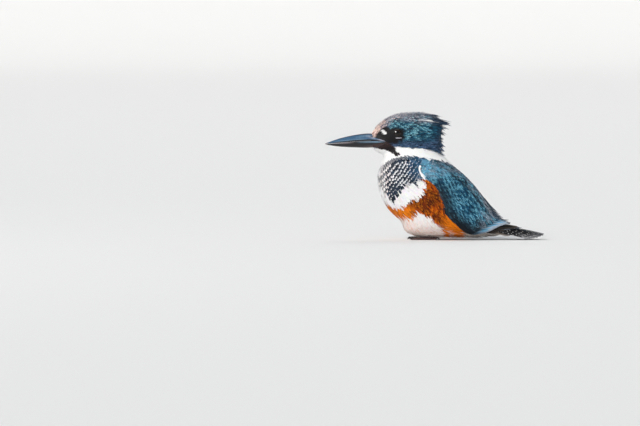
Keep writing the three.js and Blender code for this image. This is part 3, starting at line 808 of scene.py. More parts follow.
class Feathers:
    """Closed feathers of one kind, gathered in batches and made into one mesh."""

    def __init__(self, skin):
        self.skin = skin
        self.batches = []

    def trace(self, roots, length, stray, steps=4):
        """Lines over the skin from roots, following the lie of feathers: their places and normals by step."""
        place, normal, corner = self.skin.nearest(roots)
        heading = self.skin.heading_at(normal, corner)
        turn = np.radians(chance.normal(0, 1, len(roots)) * stray)[:, None]
        heading = heading * np.cos(turn) + np.cross(normal, heading) * np.sin(turn)
        places = [place]
        normals = [normal]
        for _ in range(steps):
            place, normal, corner = self.skin.nearest(places[-1] + heading * (length / steps)[:, None])
            heading = square_to(0.8 * heading + 0.2 * self.skin.flow[corner], normal)
            places.append(place)
            normals.append(normal)
        return np.array(places), np.array(normals)

    def lay(self, roots, length, half, low, high, kind, loose, stray, camber, lift=0.0, droop=0.0):
        """Lays feathers from roots on the skin along its lie; sizes are numbers or one number for each."""
        sizes = (length, half, low, high, loose, lift, droop)
        length, half, low, high, loose, lift, droop = (np.broadcast_to(value, len(roots)) for value in sizes)
        places, normals = self.trace(roots, length, stray)
        middle = smooth_through(places, ROWS_AND_TIP)
        middle[..., 2] -= droop * ROWS_AND_TIP[:, None] ** 1.5
        upward = unit(smooth_through(normals, ROWS_AND_TIP))
        self.add(middle, upward, half, low, high, kind, loose, camber, lift)

    def add(self, middle, upward, half, low, high, kind, loose, camber, lift):
        """Adds feathers along given middle lines, which rise from low to high over them."""
        count = middle.shape[1]
        rows = len(ROWS)
        share = ROWS_AND_TIP[:, None]
        heading = unit(np.gradient(middle, axis=0))
        across = unit(np.cross(upward, heading))
        rise = low + (high - low) * share**0.85 + lift * share**3
        rise = rise + chance.uniform(-0.08, 0.08, count)
        middle = middle + upward * rise[..., None]
        width = OUTLINES[kind][:, None] * half * (1 + chance.normal(0, 0.05, (rows, count)))
        toothed = (np.arange(rows) % 2)[:, None] * loose
        width = width * (1 - toothed * chance.uniform(0.15, 0.6, (rows, count)))
        sweep = width * (0.35 - 0.6 * toothed)
        drop = camber * (width / np.maximum(half, 0.1)) ** 2
        tilt = np.tan(np.radians(chance.normal(4, 2, count))) * width
        flat = np.zeros_like(width)
        thick = flat + 0.09 + 0.05 * (1 - share[:-1])
        ring = []
        for aside, up, on in (
            (width, tilt - drop, sweep),
            (flat, thick, flat),
            (-width, -tilt - drop, sweep),
            (flat, -thick, flat),
        ):
            corner = middle[:-1] + across[:-1] * aside[..., None] + upward[:-1] * up[..., None]
            ring.append(corner + heading[:-1] * on[..., None])
        body = np.stack(ring, axis=1).reshape(TIP, count, 3)
        places = np.concatenate([body, middle[-1:]]).transpose(1, 0, 2)
        places[..., 2] = np.maximum(places[..., 2], LOWEST)
        self.batches.append((places, middle[3], self.skin.nearest(middle[0])[2]))

    @staticmethod
    def vanes(name, places):
        """A mesh of closed feathers from each one's corners, and the corner that each loop stands on."""
        count = len(places)
        faces = [[3, 2, 1, 0]] + [[TIP - 4 + i, TIP - 4 + (i + 1) % 4, TIP] for i in range(4)]
        pattern = np.concatenate([ring_faces(len(ROWS), 4).ravel(), *faces])
        corners = ((np.arange(count) * CORNERS)[:, None] + pattern).ravel()
        sizes = np.tile(np.repeat([4, 3], [TIP - 3, 4]), count)
        mesh = bpy.data.meshes.new(name)
        mesh.vertices.add(count * CORNERS)
        mesh.vertices.foreach_set("co", in_part(places.reshape(-1, 3)).astype(np.float32).ravel())
        mesh.loops.add(len(corners))
        mesh.loops.foreach_set("vertex_index", corners.astype(np.int32))
        mesh.polygons.add(len(sizes))
        starts = np.concatenate([[0], np.cumsum(sizes)[:-1]])
        mesh.polygons.foreach_set("loop_start", starts.astype(np.int32))
        mesh.update(calc_edges=True)
        mesh.shade_smooth()
        return mesh, corners

    @staticmethod
    def sharpen_rims(mesh):
        ends = np.empty(len(mesh.edges) * 2, np.int32)
        mesh.edges.foreach_get("vertices", ends)
        local = ends.reshape(-1, 2) % CORNERS
        column = np.where(local == TIP, -1, local % 4)
        low, high = column.min(axis=1), column.max(axis=1)
        rim = ((low == high) | (low == -1)) & np.isin(high, (0, 2))
        sharp = mesh.attributes.get("sharp_edge") or mesh.attributes.new("sharp_edge", "BOOLEAN", "EDGE")
        sharp.data.foreach_set("value", rim)

    def make(self, name, slot, finish, variety=0.3, side=0, all_one=None):
        """One piece from the batches, painted with the markings where each feather lies or all one colour."""
        places, middles, roots = (np.concatenate(some) for some in zip(*self.batches))
        if side:
            chosen = middles[:, 1] * side > 0
            places, middles, roots = places[chosen], middles[chosen], roots[chosen]
        count = len(places)
        mesh, corners = self.vanes(name, places)
        self.sharpen_rims(mesh)
        across = np.append(np.tile([1.0, 0.0, -1.0, 0.0], len(ROWS)), 0.0)
        along = np.append(np.repeat(ROWS, 4), 1.0)
        add_uv(mesh, "vane", np.tile(np.stack([0.5 + 0.5 * across, along], axis=-1), (count, 1)), corners)
        home = self.skin.unwrap[roots] * [0.31, 0.98] + 0.01
        home[:, 0] += self.skin.form[roots] / 3
        patch = np.stack([0.5 * across, along - 0.5], axis=-1) * PATCH
        add_uv(mesh, "OFBake", (home[:, None] + patch).reshape(-1, 2), corners)
        ground, edging, rim = markings(middles, chance.normal(0, 0.5, count))
        if all_one is not None:
            ground = edging = np.tile(all_one, (count, 1))
        darkness = 1 - ground.mean(axis=1, keepdims=True)
        value = np.exp(chance.normal(0, 1, (count, 1)) * variety * np.clip(darkness, 0, 1) ** 2)
        warmth = 1 + chance.normal(0, 0.03, (count, 3))
        ground = np.clip(ground * value * warmth, 0, 0.95)
        edging = np.clip(edging * chance.lognormal(0, 0.3 * variety, count)[:, None], 0, 0.95)
        add_colour(mesh, "tint", np.repeat(ground, CORNERS, axis=0))
        add_colour(mesh, "edging", np.repeat(edging, CORNERS, axis=0))
        add_value(mesh, "luck", np.repeat(chance.uniform(0, 1, count), CORNERS))
        add_value(mesh, "rim", np.repeat(rim + chance.normal(0, 0.02, count), CORNERS))
        mesh.materials.append(finish)
        shown(name, mesh)

    def make_sides(self, name, slot, finish, variety):
        """One piece for each side of the bird."""
        for side, label in SIDES:
            self.make(f"{name}_{label}", slot, finish, variety, side)


# Feather sizes by place in the side view: x, z, length, half width, looseness.
SIZES = [
    (-66, 113, 2.2, 0.45, 0.2), (-58, 124, 2.8, 0.5, 0.3), (-43, 103, 3.2, 0.55, 0.5),
    (-56, 105, 3.2, 0.55, 0.5), (-50, 108, 3.4, 0.6, 0.4), (-37, 123, 2.8, 0.6, 0.2),
    (-55, 134, 4.6, 0.6, 0.5), (-36, 143, 7.0, 0.75, 0.6), (-10, 144, 9.0, 0.9, 0.7),
    (8, 130, 9.0, 1.0, 0.7), (-20, 115, 6.0, 0.85, 0.4), (5, 108, 8.0, 1.0, 0.6), (-52, 99, 6.0, 0.9, 0.6),
    (-20, 99, 7.5, 1.15, 0.5), (12, 94, 8.5, 1.3, 0.4), (-58, 80, 8.5, 1.35, 0.6), (-30, 78, 8.5, 1.6, 0.5),
    (-47, 50, 10.5, 1.4, 0.8), (-20, 52, 10.5, 1.4, 0.8), (0, 45, 12.0, 1.35, 0.9), (-30, 20, 13.0, 1.3, 1.0),
    (12, 12, 14.0, 1.35, 1.0), (40, 8, 13.0, 1.6, 0.9), (70, 6, 15.0, 1.8, 0.8), (22, 88, 9.0, 2.0, 0.4),
    (45, 62, 10.0, 2.1, 0.4), (70, 32, 10.0, 2.0, 0.5), (86, 17, 13.0, 2.0, 0.5),
]


def feather_size(places):
    """Length, half width and looseness at each place, blended from the nearest of SIZES."""
    known = np.array(SIZES)
    gap = np.hypot(places[..., None, 0] - known[:, 0], places[..., None, 2] - known[:, 1])
    weight = 1 / (gap + 2.0) ** 4
    return np.moveaxis(weight @ known[:, 2:] / weight.sum(-1, keepdims=True), -1, 0)


def rows_over(surface, first, last, row_share, side_share, sizes=feather_size, stray=0.12):
    """Staggered rows of roots over a surface(along, round), each spaced by the feather sizes there."""
    fine = np.linspace(first, last, 400)
    turns = np.linspace(0, 1, 181)
    run = surface(*np.meshgrid(fine, turns[::12], indexing="ij"))
    steps = np.linalg.norm(np.diff(run, axis=0), axis=-1) / (sizes(run)[0][1:] * row_share)
    passed = np.concatenate([[0], np.cumsum(np.mean(steps, axis=1))])
    rows = np.interp(np.arange(0.5, passed[-1]), passed, fine)
    roots = []
    for number, row in enumerate(rows):
        ring = surface(np.full(turns.shape, row), turns)
        steps = np.linalg.norm(np.diff(ring, axis=0), axis=-1) / (sizes(ring)[1][1:] * side_share)
        passed = np.concatenate([[0], np.cumsum(steps)])
        count = max(4, int(round(passed[-1])))
        marks = (np.arange(count) + (0.25 if number % 2 else 0.75)) / count * passed[-1]
        turn = np.interp(marks, passed, turns) + chance.normal(0, stray, count) / count
        along = row + chance.normal(0, stray, count) * (rows[1] - rows[0])
        roots.append(surface(along, turn))
    return np.concatenate(roots)


def around(loft):
    return lambda share, turn: loft.at(np.clip(share, 0.005, 0.995), turn * CIRCLE)


def still_seen(skin, roots):
    """The roots that lie over the skin and not inside another form."""
    place, normal, corner = skin.nearest(roots)
    height = np.sum((roots - place) * normal, axis=-1)
    return roots[height > 0.3 * skin.depth[corner]]


EYE_CLEARING = 4.9  # no feather is rooted nearer to the eye's middle
BROW_HALF = 9  # the top of the head between the eyes, where feathers are rooted all over
BILL_CLEARING = 0.4
BILL_ROOT_X = -53


def clear_of_face(roots):
    """The roots that cover neither eye nor bill."""
    x, y, z = roots.T
    near_eye = (np.hypot(x - EYE_AT[0], z - EYE_AT[2]) <= EYE_CLEARING) & (np.abs(y) >= BROW_HALF)
    low_x, low_z, high_x, high_z, half = BILL.ribs.T
    beside = np.abs(y) < np.interp(x, low_x, half) + BILL_CLEARING
    above_foot = z > np.interp(x, low_x, low_z) - BILL_CLEARING
    below_ridge = z < np.interp(x, high_x, high_z) + BILL_CLEARING
    in_bill = beside & above_foot & below_ridge & (x < BILL_ROOT_X) & (x > BILL_TIP_X)
    return roots[~near_eye & ~in_bill]


# ---------------------------------------------------------------- materials

RELIEF_DEPTH = 0.0002


def put(tree, kind, inputs=None, **settings):
    """A node with its settings, its inputs set or linked by name or number."""
    made = tree.nodes.new(kind)
    for name, value in settings.items():
        setattr(made, name, value)
    for key, value in (inputs or {}).items():
        value = getattr(value, "socket", value)
        if isinstance(value, bpy.types.NodeSocket):
            tree.links.new(value, made.inputs[key])
        else:
            made.inputs[key].default_value = value
    return made


class Wire:
    """A number on its way through a node tree, from which sums and products are written as usual."""

    def __init__(self, tree, socket):
        self.tree = tree
        self.socket = socket

    def maths(self, operation, *others):
        inputs = dict(enumerate((self, *others)))
        return Wire(self.tree, put(self.tree, "ShaderNodeMath", inputs, operation=operation).outputs[0])

    def __add__(self, other):
        return self.maths("ADD", other)

    def __sub__(self, other):
        return self.maths("SUBTRACT", other)

    def __rsub__(self, other):
        return self * -1.0 + other

    def __mul__(self, other):
        return self.maths("MULTIPLY", other)

    def eased(self, low, high, to_low=0.0, to_high=1.0):
        inputs = {"Value": self, "From Min": low, "From Max": high, "To Min": to_low, "To Max": to_high}
        made = put(self.tree, "ShaderNodeMapRange", inputs, interpolation_type="SMOOTHSTEP")
        return Wire(self.tree, made.outputs["Result"])


def mixed(tree, share, first, second, how="MIX"):
    made = put(tree, "ShaderNodeMix", {0: share, 6: first, 7: second}, data_type="RGBA", blend_type=how)
    return made.outputs[2]


def noise(tree, place, scale, detail):
    made = put(tree, "ShaderNodeTexNoise", {"Vector": place, "Scale": scale, "Detail": detail})
    return Wire(tree, made.outputs["Fac"])


def attribute(tree, name, output="Color"):
    return put(tree, "ShaderNodeAttribute", attribute_name=name).outputs[output]


def link_all(tree, inputs, **sources):
    """Links each source to the input of its name, with spaces for underscores."""
    for label, source in sources.items():
        tree.links.new(getattr(source, "socket", source), inputs[label.replace("_", " ")])


def relief(tree, strength, height):
    inputs = {"Strength": strength, "Distance": RELIEF_DEPTH, "Height": height}
    return put(tree, "ShaderNodeBump", inputs).outputs[0]


def new_sockets(tree, in_out, kinds):
    """Named sockets of a group, by the kind of value they hold."""
    made = {}
    for label, kind in kinds.items():
        made[label] = tree.interface.new_socket(label, in_out=in_out, socket_type=f"NodeSocket{kind}")
    return made


def vane_tree(name, inputs, outputs):
    """A shader node group with named sockets, and a feather's own measures: across, out, along and luck."""
    tree = bpy.data.node_groups.new(name, "ShaderNodeTree")
    kinds = {label: "Color" if isinstance(value, tuple) else "Float" for label, value in inputs.items()}
    for label, socket in new_sockets(tree, "INPUT", kinds).items():
        socket.default_value = inputs[label]
    new_sockets(tree, "OUTPUT", outputs)
    vane = put(tree, "ShaderNodeUVMap", uv_map="vane").outputs[0]
    parts = put(tree, "ShaderNodeSeparateXYZ", {0: vane}).outputs
    measures = (parts[0], parts[1], attribute(tree, "luck", "Fac"))
    across, along, luck = (Wire(tree, measure) for measure in measures)
    out = (across - 0.5).maths("ABSOLUTE") * 2.0
    given = tree.nodes.new("NodeGroupInput").outputs
    return tree, given, tree.nodes.new("NodeGroupOutput").inputs, (across, out, along, luck)


# The vane group's inputs, and each feather finish's relief and values for them.
VANE_INPUTS = (
    "Edging Start", "Edging Strength", "Side Edging", "Shaft Shade", "Root Shade", "Barb Shade", "Barb Count",
    "Fleck Strength",
)
PLUMAGE = {
    "soft contour feathers": (0.25, 0.7, 0.6, 0.8, 0.06, 0.1, 0.18, 14.0, 0.0),
    "scalloped band feathers": (0.25, 0.66, 0.95, 0.22, 0.2, 0.5, 0.25, 14.0, 0.0),
    "slate head feathers": (0.25, 0.6, 0.85, 0.8, 0.4, 0.5, 0.4, 10.0, 0.4),
    "shaggy crest feathers": (0.25, 0.7, 0.6, 0.8, 0.7, 0.3, 0.5, 22.0, 0.0),
    "white collar feathers": (0.25, 0.7, 0.3, 0.8, 0.04, 0.05, 0.16, 12.0, 0.0),
    "wing coverts": (0.35, 0.62, 0.85, 0.5, 0.6, 0.6, 0.4, 12.0, 0.75),
    "blue quills": (0.4, 0.68, 0.9, 1.0, 0.8, 0.2, 0.5, 46.0, 0.3),
    "loose back feathers": (0.4, 0.75, 0.8, 0.9, 0.7, 0.2, 0.5, 30.0, 0.0),
    "dark quills": (0.4, 0.86, 0.7, 1.0, 0.5, 0.2, 0.4, 60.0, 0.0),
    "upper tail coverts": (0.4, 0.8, 0.35, 0.8, 0.3, 0.2, 0.4, 50.0, 0.0),
    "under tail coverts": (0.4, 0.8, 0.4, 0.8, 0.3, 0.2, 0.4, 50.0, 0.0),
    "tail feathers": (0.4, 0.93, 0.5, 0.8, 0.7, 0.2, 0.45, 90.0, 0.0),
}


def make_vane_group():
    """Barbs, shaft and pale edging of one feather, from its own map: across in x, root to tip in y."""
    inputs = {"Tint": (0.5, 0.5, 0.5, 1), "Edging": (0.8, 0.8, 0.8, 1), **dict.fromkeys(VANE_INPUTS, 0.5)}
    outputs = {"Color": "Color", "Height": "Float", "Roughness": "Float"}
    tree, given, result, (across, out, along, luck) = vane_tree("feather vane", inputs, outputs)
    slant = along - out * 0.22
    seed = luck * 40.0
    place = put(tree, "ShaderNodeCombineXYZ", {0: out, 1: slant * 9.0, 2: seed}).outputs[0]
    split = noise(tree, place, 1.6, 2.0)
    phase = slant * given["Barb Count"] + split * 1.4
    barbs = (phase * CIRCLE).maths("SINE") * 0.5 + 0.5
    far = ((along - 0.5) * 2.0).maths("MAXIMUM", 0.0)
    reach = (far * far + out * out * given["Side Edging"]).maths("SQRT") + (split - 0.5) * 0.5
    start = Wire(tree, attribute(tree, "rim", "Fac")) + given["Edging Start"]
    edge = (reach - start).eased(-0.08, 0.12) * given["Edging Strength"]
    place = put(tree, "ShaderNodeCombineXYZ", {0: across * 2.6, 1: slant * 8.0, 2: seed}).outputs[0]
    spots = noise(tree, place, 1.3, 1.0)
    colour = mixed(tree, edge, given["Tint"], given["Edging"])
    colour = mixed(tree, spots.eased(0.52, 0.64) * given["Fleck Strength"], colour, given["Edging"])
    shaft = out.eased(0.16, 0.04)
    # Painted shade: darker towards a cool grey between barbs and their clumps and towards the root, under the
    # feather above; the shaft and dark flecks are darkened the same way, and pale feathers take less of all
    # this.
    shade = shaft * given["Shaft Shade"]
    for other in (
        (split.eased(0.62, 0.4) * 0.8 + (1.0 - barbs) * 0.5) * given["Barb Shade"],
        spots.eased(0.46, 0.34) * given["Fleck Strength"],
        along.eased(0.65, 0.05) * given["Root Shade"],
    ):
        shade = shade.maths("MAXIMUM", other)
    paleness = Wire(tree, put(tree, "ShaderNodeRGBToBW", {"Color": given["Tint"]}).outputs[0])
    shaded = mixed(tree, 1.0, colour, (0.25, 0.26, 0.3, 1), "MULTIPLY")
    colour = mixed(tree, shade * (1.0 - paleness * 0.6), colour, shaded)
    link_all(tree, result, Color=colour, Height=shaft * 0.8 + barbs * 0.4, Roughness=barbs * 0.12 + 0.52)


def make_bar_group():
    """Broken pale bars across a vane, clear of its shaft."""
    inputs = {"Color": (0.1, 0.1, 0.1, 1), "Bar Color": (0.8, 0.8, 0.8, 1)}
    inputs |= {"Bar Count": 8.0, "Bar Width": 0.25, "Bar Strength": 0.8}
    tree, given, result, (across, out, along, luck) = vane_tree("vane bars", inputs, {"Color": "Color"})
    place = put(tree, "ShaderNodeCombineXYZ", {0: across, 1: along * 6.0, 2: luck * 30.0}).outputs[0]
    phase = along * given["Bar Count"] + (noise(tree, place, 2.2, 1.0) * 0.5 + luck)
    width = Wire(tree, given["Bar Width"])
    bar = phase.maths("PINGPONG", 0.5).eased(width + 0.06, width - 0.06) * out.eased(0.45, 0.7)
    share = bar * (along.eased(0.28, 0.4) * given["Bar Strength"])
    link_all(tree, result, Color=mixed(tree, share, given["Color"], given["Bar Color"]))


def new_material(name):
    made = bpy.data.materials.new(name)
    made.use_nodes = True
    return made, made.node_tree, made.node_tree.nodes["Principled BSDF"]


def plumage(name, bars=None):
    """A feather finish, made once: the vane group's pattern in the piece's tint and edging, barred or not."""
    if name in bpy.data.materials:
        return bpy.data.materials[name]
    made, tree, shader = new_material(name)
    bump, *values = PLUMAGE[name]
    given = {"Tint": attribute(tree, "tint"), "Edging": attribute(tree, "edging")}
    given |= zip(VANE_INPUTS, values)
    vane = put(tree, "ShaderNodeGroup", given, node_tree=bpy.data.node_groups["feather vane"]).outputs
    colour = vane["Color"]
    if bars:
        barring = bpy.data.node_groups["vane bars"]
        colour = put(tree, "ShaderNodeGroup", {"Color": colour, **bars}, node_tree=barring).outputs["Color"]
    shader.inputs["Specular IOR Level"].default_value = 0.18
    shader.inputs["Sheen Weight"].default_value = 0.02
    shader.inputs["Sheen Roughness"].default_value = 0.45
    normal = relief(tree, bump, vane["Height"])
    link_all(tree, shader.inputs, Base_Color=colour, Roughness=vane["Roughness"], Normal=normal)
    return made


def painted(name, roughness, bump, scale, coat=0.0, specular=0.5):
    """A finish coloured by the piece's own tint, with a fine grain in its roughness and relief."""
    made, tree, shader = new_material(name)
    grain = noise(tree, put(tree, "ShaderNodeTexCoord").outputs["Object"], scale, 3.0)
    colour = mixed(tree, 1.0, attribute(tree, "tint"), grain.eased(0.35, 0.7, 0.82, 1.08), "MULTIPLY")
    rough = grain.eased(0.3, 0.7, roughness * 0.85, roughness * 1.15)
    link_all(tree, shader.inputs, Base_Color=colour, Roughness=rough, Normal=relief(tree, bump, grain))
    shader.inputs["Coat Weight"].default_value = coat
    shader.inputs["Specular IOR Level"].default_value = specular
    return made


# ---------------------------------------------------------------- skin and coat


def make_skin_piece(skin):
    ground, edging, _ = markings(skin.places)
    # Painted shade: the skin takes the markings at 0.7 of their brightness, for the dark that shows between
    # the feathers.
    tint = blend(ground, edging, np.full(len(ground), 0.2)) * 0.7
    finish = painted("skin under the coat", roughness=0.8, bump=0.5, scale=1500.0)
    nodes = ["head", "crest", "neck", "trunk", "wing_left", "wing_right"]
    solid_piece("skin", (skin.places, skin.faces), tint, finish, nodes)


# The ragged crest in the side view: the root and the point of each level of locks, from crown to nape.
LOCKS = [
    ((-14, 143.5), (15, 140.8)), ((-9, 141.5), (12, 137.9)), ((-5, 137), (26.4, 134.6)),
    ((-3, 134), (26.6, 131)), ((-2, 130.5), (22.6, 126)), ((-1, 127), (20.4, 119.8)),
    ((0, 122.5), (17, 114.2)), ((1, 118.5), (16.6, 110.4)), ((2, 113.5), (18.4, 105.4)),
    ((2, 108.5), (17.4, 100.4)), ((2, 103.5), (18.4, 95.2)),
]
LOCK_SPREAD = [3.4, 4.6, 6.4, 6.8, 6.2]
LOCK_SIDES = [-1.5, -0.75, 0, 0.75, 1.5]


def lock_place(ends, side, bend):
    """Places across the crest: the levels' ends in the side view, moved sideways round the head."""
    spread = smooth_through(LOCK_SPREAD, np.linspace(0, 1, len(LOCKS)))
    y = side * spread[:, None]
    x = ends[:, :1] - 0.022 * bend * y * y
    return np.stack([x, y, np.broadcast_to(ends[:, 1:], side.shape)], axis=-1).reshape(-1, 3)


def crest_feathers(feathers, skin, each=16):
    """Long narrow feathers from crown and nape, drawn together in locks whose points make the ragged edge."""
    ends = np.array(LOCKS, float)
    sides = np.tile(LOCK_SIDES, (len(LOCKS), 1))
    sides = sides + chance.normal(0, 0.12, sides.shape)
    axis = lock_place(ends[:, 0], sides, 1.0)
    point = lock_place(ends[:, 1], sides, 1.6)
    outer = np.abs(sides).ravel() > 0.5
    point[:, 0] -= np.where(outer, chance.uniform(0, 5, len(point)), 0.3)
    point[:, 2] += np.where(outer, chance.normal(0, 1.2, len(point)), 0)
    lock = np.repeat(np.arange(len(point)), each)
    count = len(lock)
    axis, point = axis[lock], point[lock]
    scatter = [chance.uniform(-12, 0, count), *chance.normal(0, 1, (2, count)) * [[2.0], [1.6]]]
    start, normal, corner = skin.nearest(axis + np.transpose(scatter))
    least = np.interp(lock // len(LOCK_SIDES), [4, 7], [0.2, 0.7])
    reach = chance.uniform(least, 1.0)[:, None] ** 0.7
    end = axis + (point - axis) * reach + chance.normal(0, 0.45, (count, 3)) * (1.15 - reach)
    flow = skin.flow[corner]
    heading = unit(flow - normal * np.sum(flow * normal, axis=-1, keepdims=True) + normal * 0.12)
    length = np.linalg.norm(end - start, axis=-1, keepdims=True)
    bow = 0.3 * (start + heading * length * 0.5) + 0.7 * (axis + (end - axis) * 0.4) + normal * 0.9
    share = ROWS_AND_TIP[:, None, None]
    middle = bezier(start, bow, end, share)
    outward = np.stack([np.full(count, 0.25), start[:, 1] * 0.09, np.full(count, 0.6)], axis=-1)
    line = unit(np.gradient(middle, axis=0))
    upward = square_to(unit(normal * (1 - 0.6 * share) + outward * share), line)
    roll = chance.normal(0, 0.7, count)[:, None] * share
    upward = upward * np.cos(roll) + np.cross(line, upward) * np.sin(roll)
    half = chance.uniform(0.36, 0.66, count)
    feathers.add(middle, upward, half, low=0.2, high=0.6, kind="pointed", loose=0.3, camber=0.2, lift=0.0)


def crown_wisps(feathers, count, spread):
    """Thin loose barbs that stand off the crown and roughen its outline."""
    share = chance.uniform(0.16, 0.86, count)
    roots = HEAD.at(share, np.clip(chance.normal(0, spread, count), -1, 1))
    length = chance.uniform(4.5, 10, count) * (0.5 + 0.9 * share)
    rise = {"low": 0.3, "high": 0.9, "lift": chance.uniform(0.3, 1.0, count) * (1.2 + 2.4 * share)}
    feathers.lay(roots, length, half=0.28, kind="pointed", loose=0.2, stray=12, camber=0.05, **rise)


def slanted_body(share, turn):
    """The body's surface with its rows slanted, as the scallops of the breast band run."""
    angle = turn * CIRCLE
    return BODY.at(np.clip(share - 0.12 * (1 + np.cos(angle)), 0.005, 0.995), angle)


def sized(roots):
    length, half, loose = feather_size(roots)
    length = length * chance.uniform(0.85, 1.15, len(roots))
    return {"length": length, "half": half * chance.uniform(0.85, 1.15, len(roots)), "loose": loose}


def above_line(roots, line):
    """Which roots lie above a line of the side view, with a slightly ragged edge."""
    return roots[:, 2] > height_of(line, roots[:, 0]) + chance.normal(0, 0.4, len(roots))


def make_head_coat(skin):
    """The slate feathers of head and crest; gives back the roots of the white ones below."""
    roots = clear_of_face(still_seen(skin, rows_over(around(HEAD), 0.02, 0.97, 0.27, 1.05)))
    upper = above_line(roots, COLLAR_TOP)
    throat, roots = roots[~upper], roots[upper]
    on_head = Feathers(skin)
    shaggy = ease(-36, 5, roots[:, 0]) * ease(116, 136, roots[:, 2])
    rise = {"low": 0.05, "high": 0.6 + 0.5 * shaggy, "lift": 0.5 * shaggy}
    on_head.lay(roots, kind="pointed", stray=9, camber=0.2, **rise, **sized(roots))
    white_face_marks(on_head)
    on_head.make_sides("head_feathers", "head_plumage", plumage("slate head feathers"), 0.42)
    crest = plumage("shaggy crest feathers")
    on_crest = Feathers(skin)
    crest_feathers(on_crest, skin)
    crown_wisps(on_crest, 800, 0.5)
    on_crest.make("crest_feathers", "crest_plumage", crest, 0.42)
    pale = Feathers(skin)
    crown_wisps(pale, 420, 0.24)
    pale.make("crown_wisps", "crest_plumage", crest, 0.42, all_one=INK["crown_streak"] * 0.7)
    return throat


def white_face_marks(feathers):
    """The short white feathers of the spot before each eye and of the thin crescent below it."""
    spot = [(-57.1 + 1.0 * i + 0.35 * j, 126.1 - 0.72 * i - 0.85 * j) for i in range(5) for j in range(3)]
    crescent = [(-38.8 + 0.5 * i, 117.4 - 0.3 * math.sin(math.pi * i / 9)) for i in range(10)]
    for marks, length, half in ((spot, 2.2, 0.5), (crescent, 1.3, 0.2)):
        for side, _ in SIDES:
            roots = np.array([(x, 16.0 * side, z) for x, z in marks])
            feathers.lay(roots, length, half, low=0.6, high=1.0, kind="soft", loose=0.1, stray=3, camber=0.05)


def make_wing_lines(skin, finish, count=26):
    """The short white feathers that line the bend of each wing."""
    lines = Feathers(skin)
    for side, _ in SIDES:
        line = smooth_through(WING_LINE, np.linspace(0, 1, count))
        roots = BODY.at(*BODY.from_side(*line.T)) * [1, side, 1]
        half = 0.45 + 0.45 * np.sin(math.pi * np.linspace(0.1, 0.9, count))
        lines.lay(roots, 3.2, half, low=1.9, high=2.3, kind="soft", loose=0.2, stray=6, camber=0.1)
    lines.make("wing_line_feathers", "body_plumage", finish, all_one=INK["white"])


def make_body_coat(skin, throat):
    """White collar, scalloped band and the soft feathers of breast, flanks and belly."""
    roots = still_seen(skin, rows_over(around(BODY), 0.02, 0.985, 0.23, 1.1))
    collar = above_line(roots, COLLAR_FOOT)
    in_band = depth_within(roots[:, 0], roots[:, 2], BAND) > 1.5
    white = plumage("white collar feathers")
    on_collar = Feathers(skin)
    for some in (throat, roots[collar]):
        on_collar.lay(some, low=0.1, high=0.9, kind="soft", stray=7, camber=0.2, **sized(some))
    on_collar.make("collar_feathers", "collar_plumage", white, 0.2)

    def scallop_size(places):
        return np.full(places.shape[:-1], 10.2), np.full(places.shape[:-1], 1.55)

    rows = still_seen(skin, rows_over(slanted_body, 0.1, 0.62, 0.45, 1.8, scallop_size, stray=0.055))
    rows = rows[depth_within(rows[:, 0], rows[:, 2], BAND) > -0.5]
    length, half = scallop_size(rows)
    on_band = Feathers(skin)
    half = half * chance.uniform(0.9, 1.15, len(rows))
    on_band.lay(rows, length, half, low=0.3, high=1.5, kind="round", loose=0.2, stray=3, camber=0.4)
    on_band.make("band_feathers", "body_plumage", plumage("scalloped band feathers"), 0.35)

    roots = roots[~collar & ~in_band]
    size = sized(roots)
    hang = ease(15, 5, roots[:, 2]) * ease(60, 44, roots[:, 0]) * chance.uniform(0.6, 1.5, len(roots))
    rise = {"low": 0.1, "high": 1.1, "lift": 0.4 * size["loose"] * chance.uniform(0, 1, len(roots))}
    on_body = Feathers(skin)
    on_body.lay(roots, kind="soft", stray=9, camber=0.2, droop=2.1 * hang, **rise, **size)
    on_body.make_sides("body_feathers", "body_plumage", plumage("soft contour feathers"), 0.32)
    make_wing_lines(skin, white)


WING_SIZES = [(0.0, 4.8, 0.8), (0.25, 6.8, 0.95), (0.5, 9.0, 1.1), (0.75, 12.0, 1.25), (1.0, 14.0, 1.4)]


def covert_size(places):
    share, length, half = np.transpose(WING_SIZES)
    along = np.clip((places[..., 0] + 12) / 90, 0, 1)
    return np.interp(along, share, length), np.interp(along, share, half)


def make_wing_coverts(skin, side, name):
    def surface(along, across):
        return wing_at(np.clip(along, 0.01, 0.99), np.clip(across, 0.01, 0.99), side)

    roots = still_seen(skin, rows_over(surface, 0.02, 0.7, 0.2, 1.1, covert_size))
    coverts = Feathers(skin)
    length, half = covert_size(roots)
    coverts.lay(roots, length, half, low=0.1, high=1.3, kind="soft", loose=0.4, stray=8, camber=0.25)
    coverts.make(f"wing_coverts_{name}", "wing_plumage", plumage("wing coverts"), 0.5)


# ---------------------------------------------------------------- quills and tail


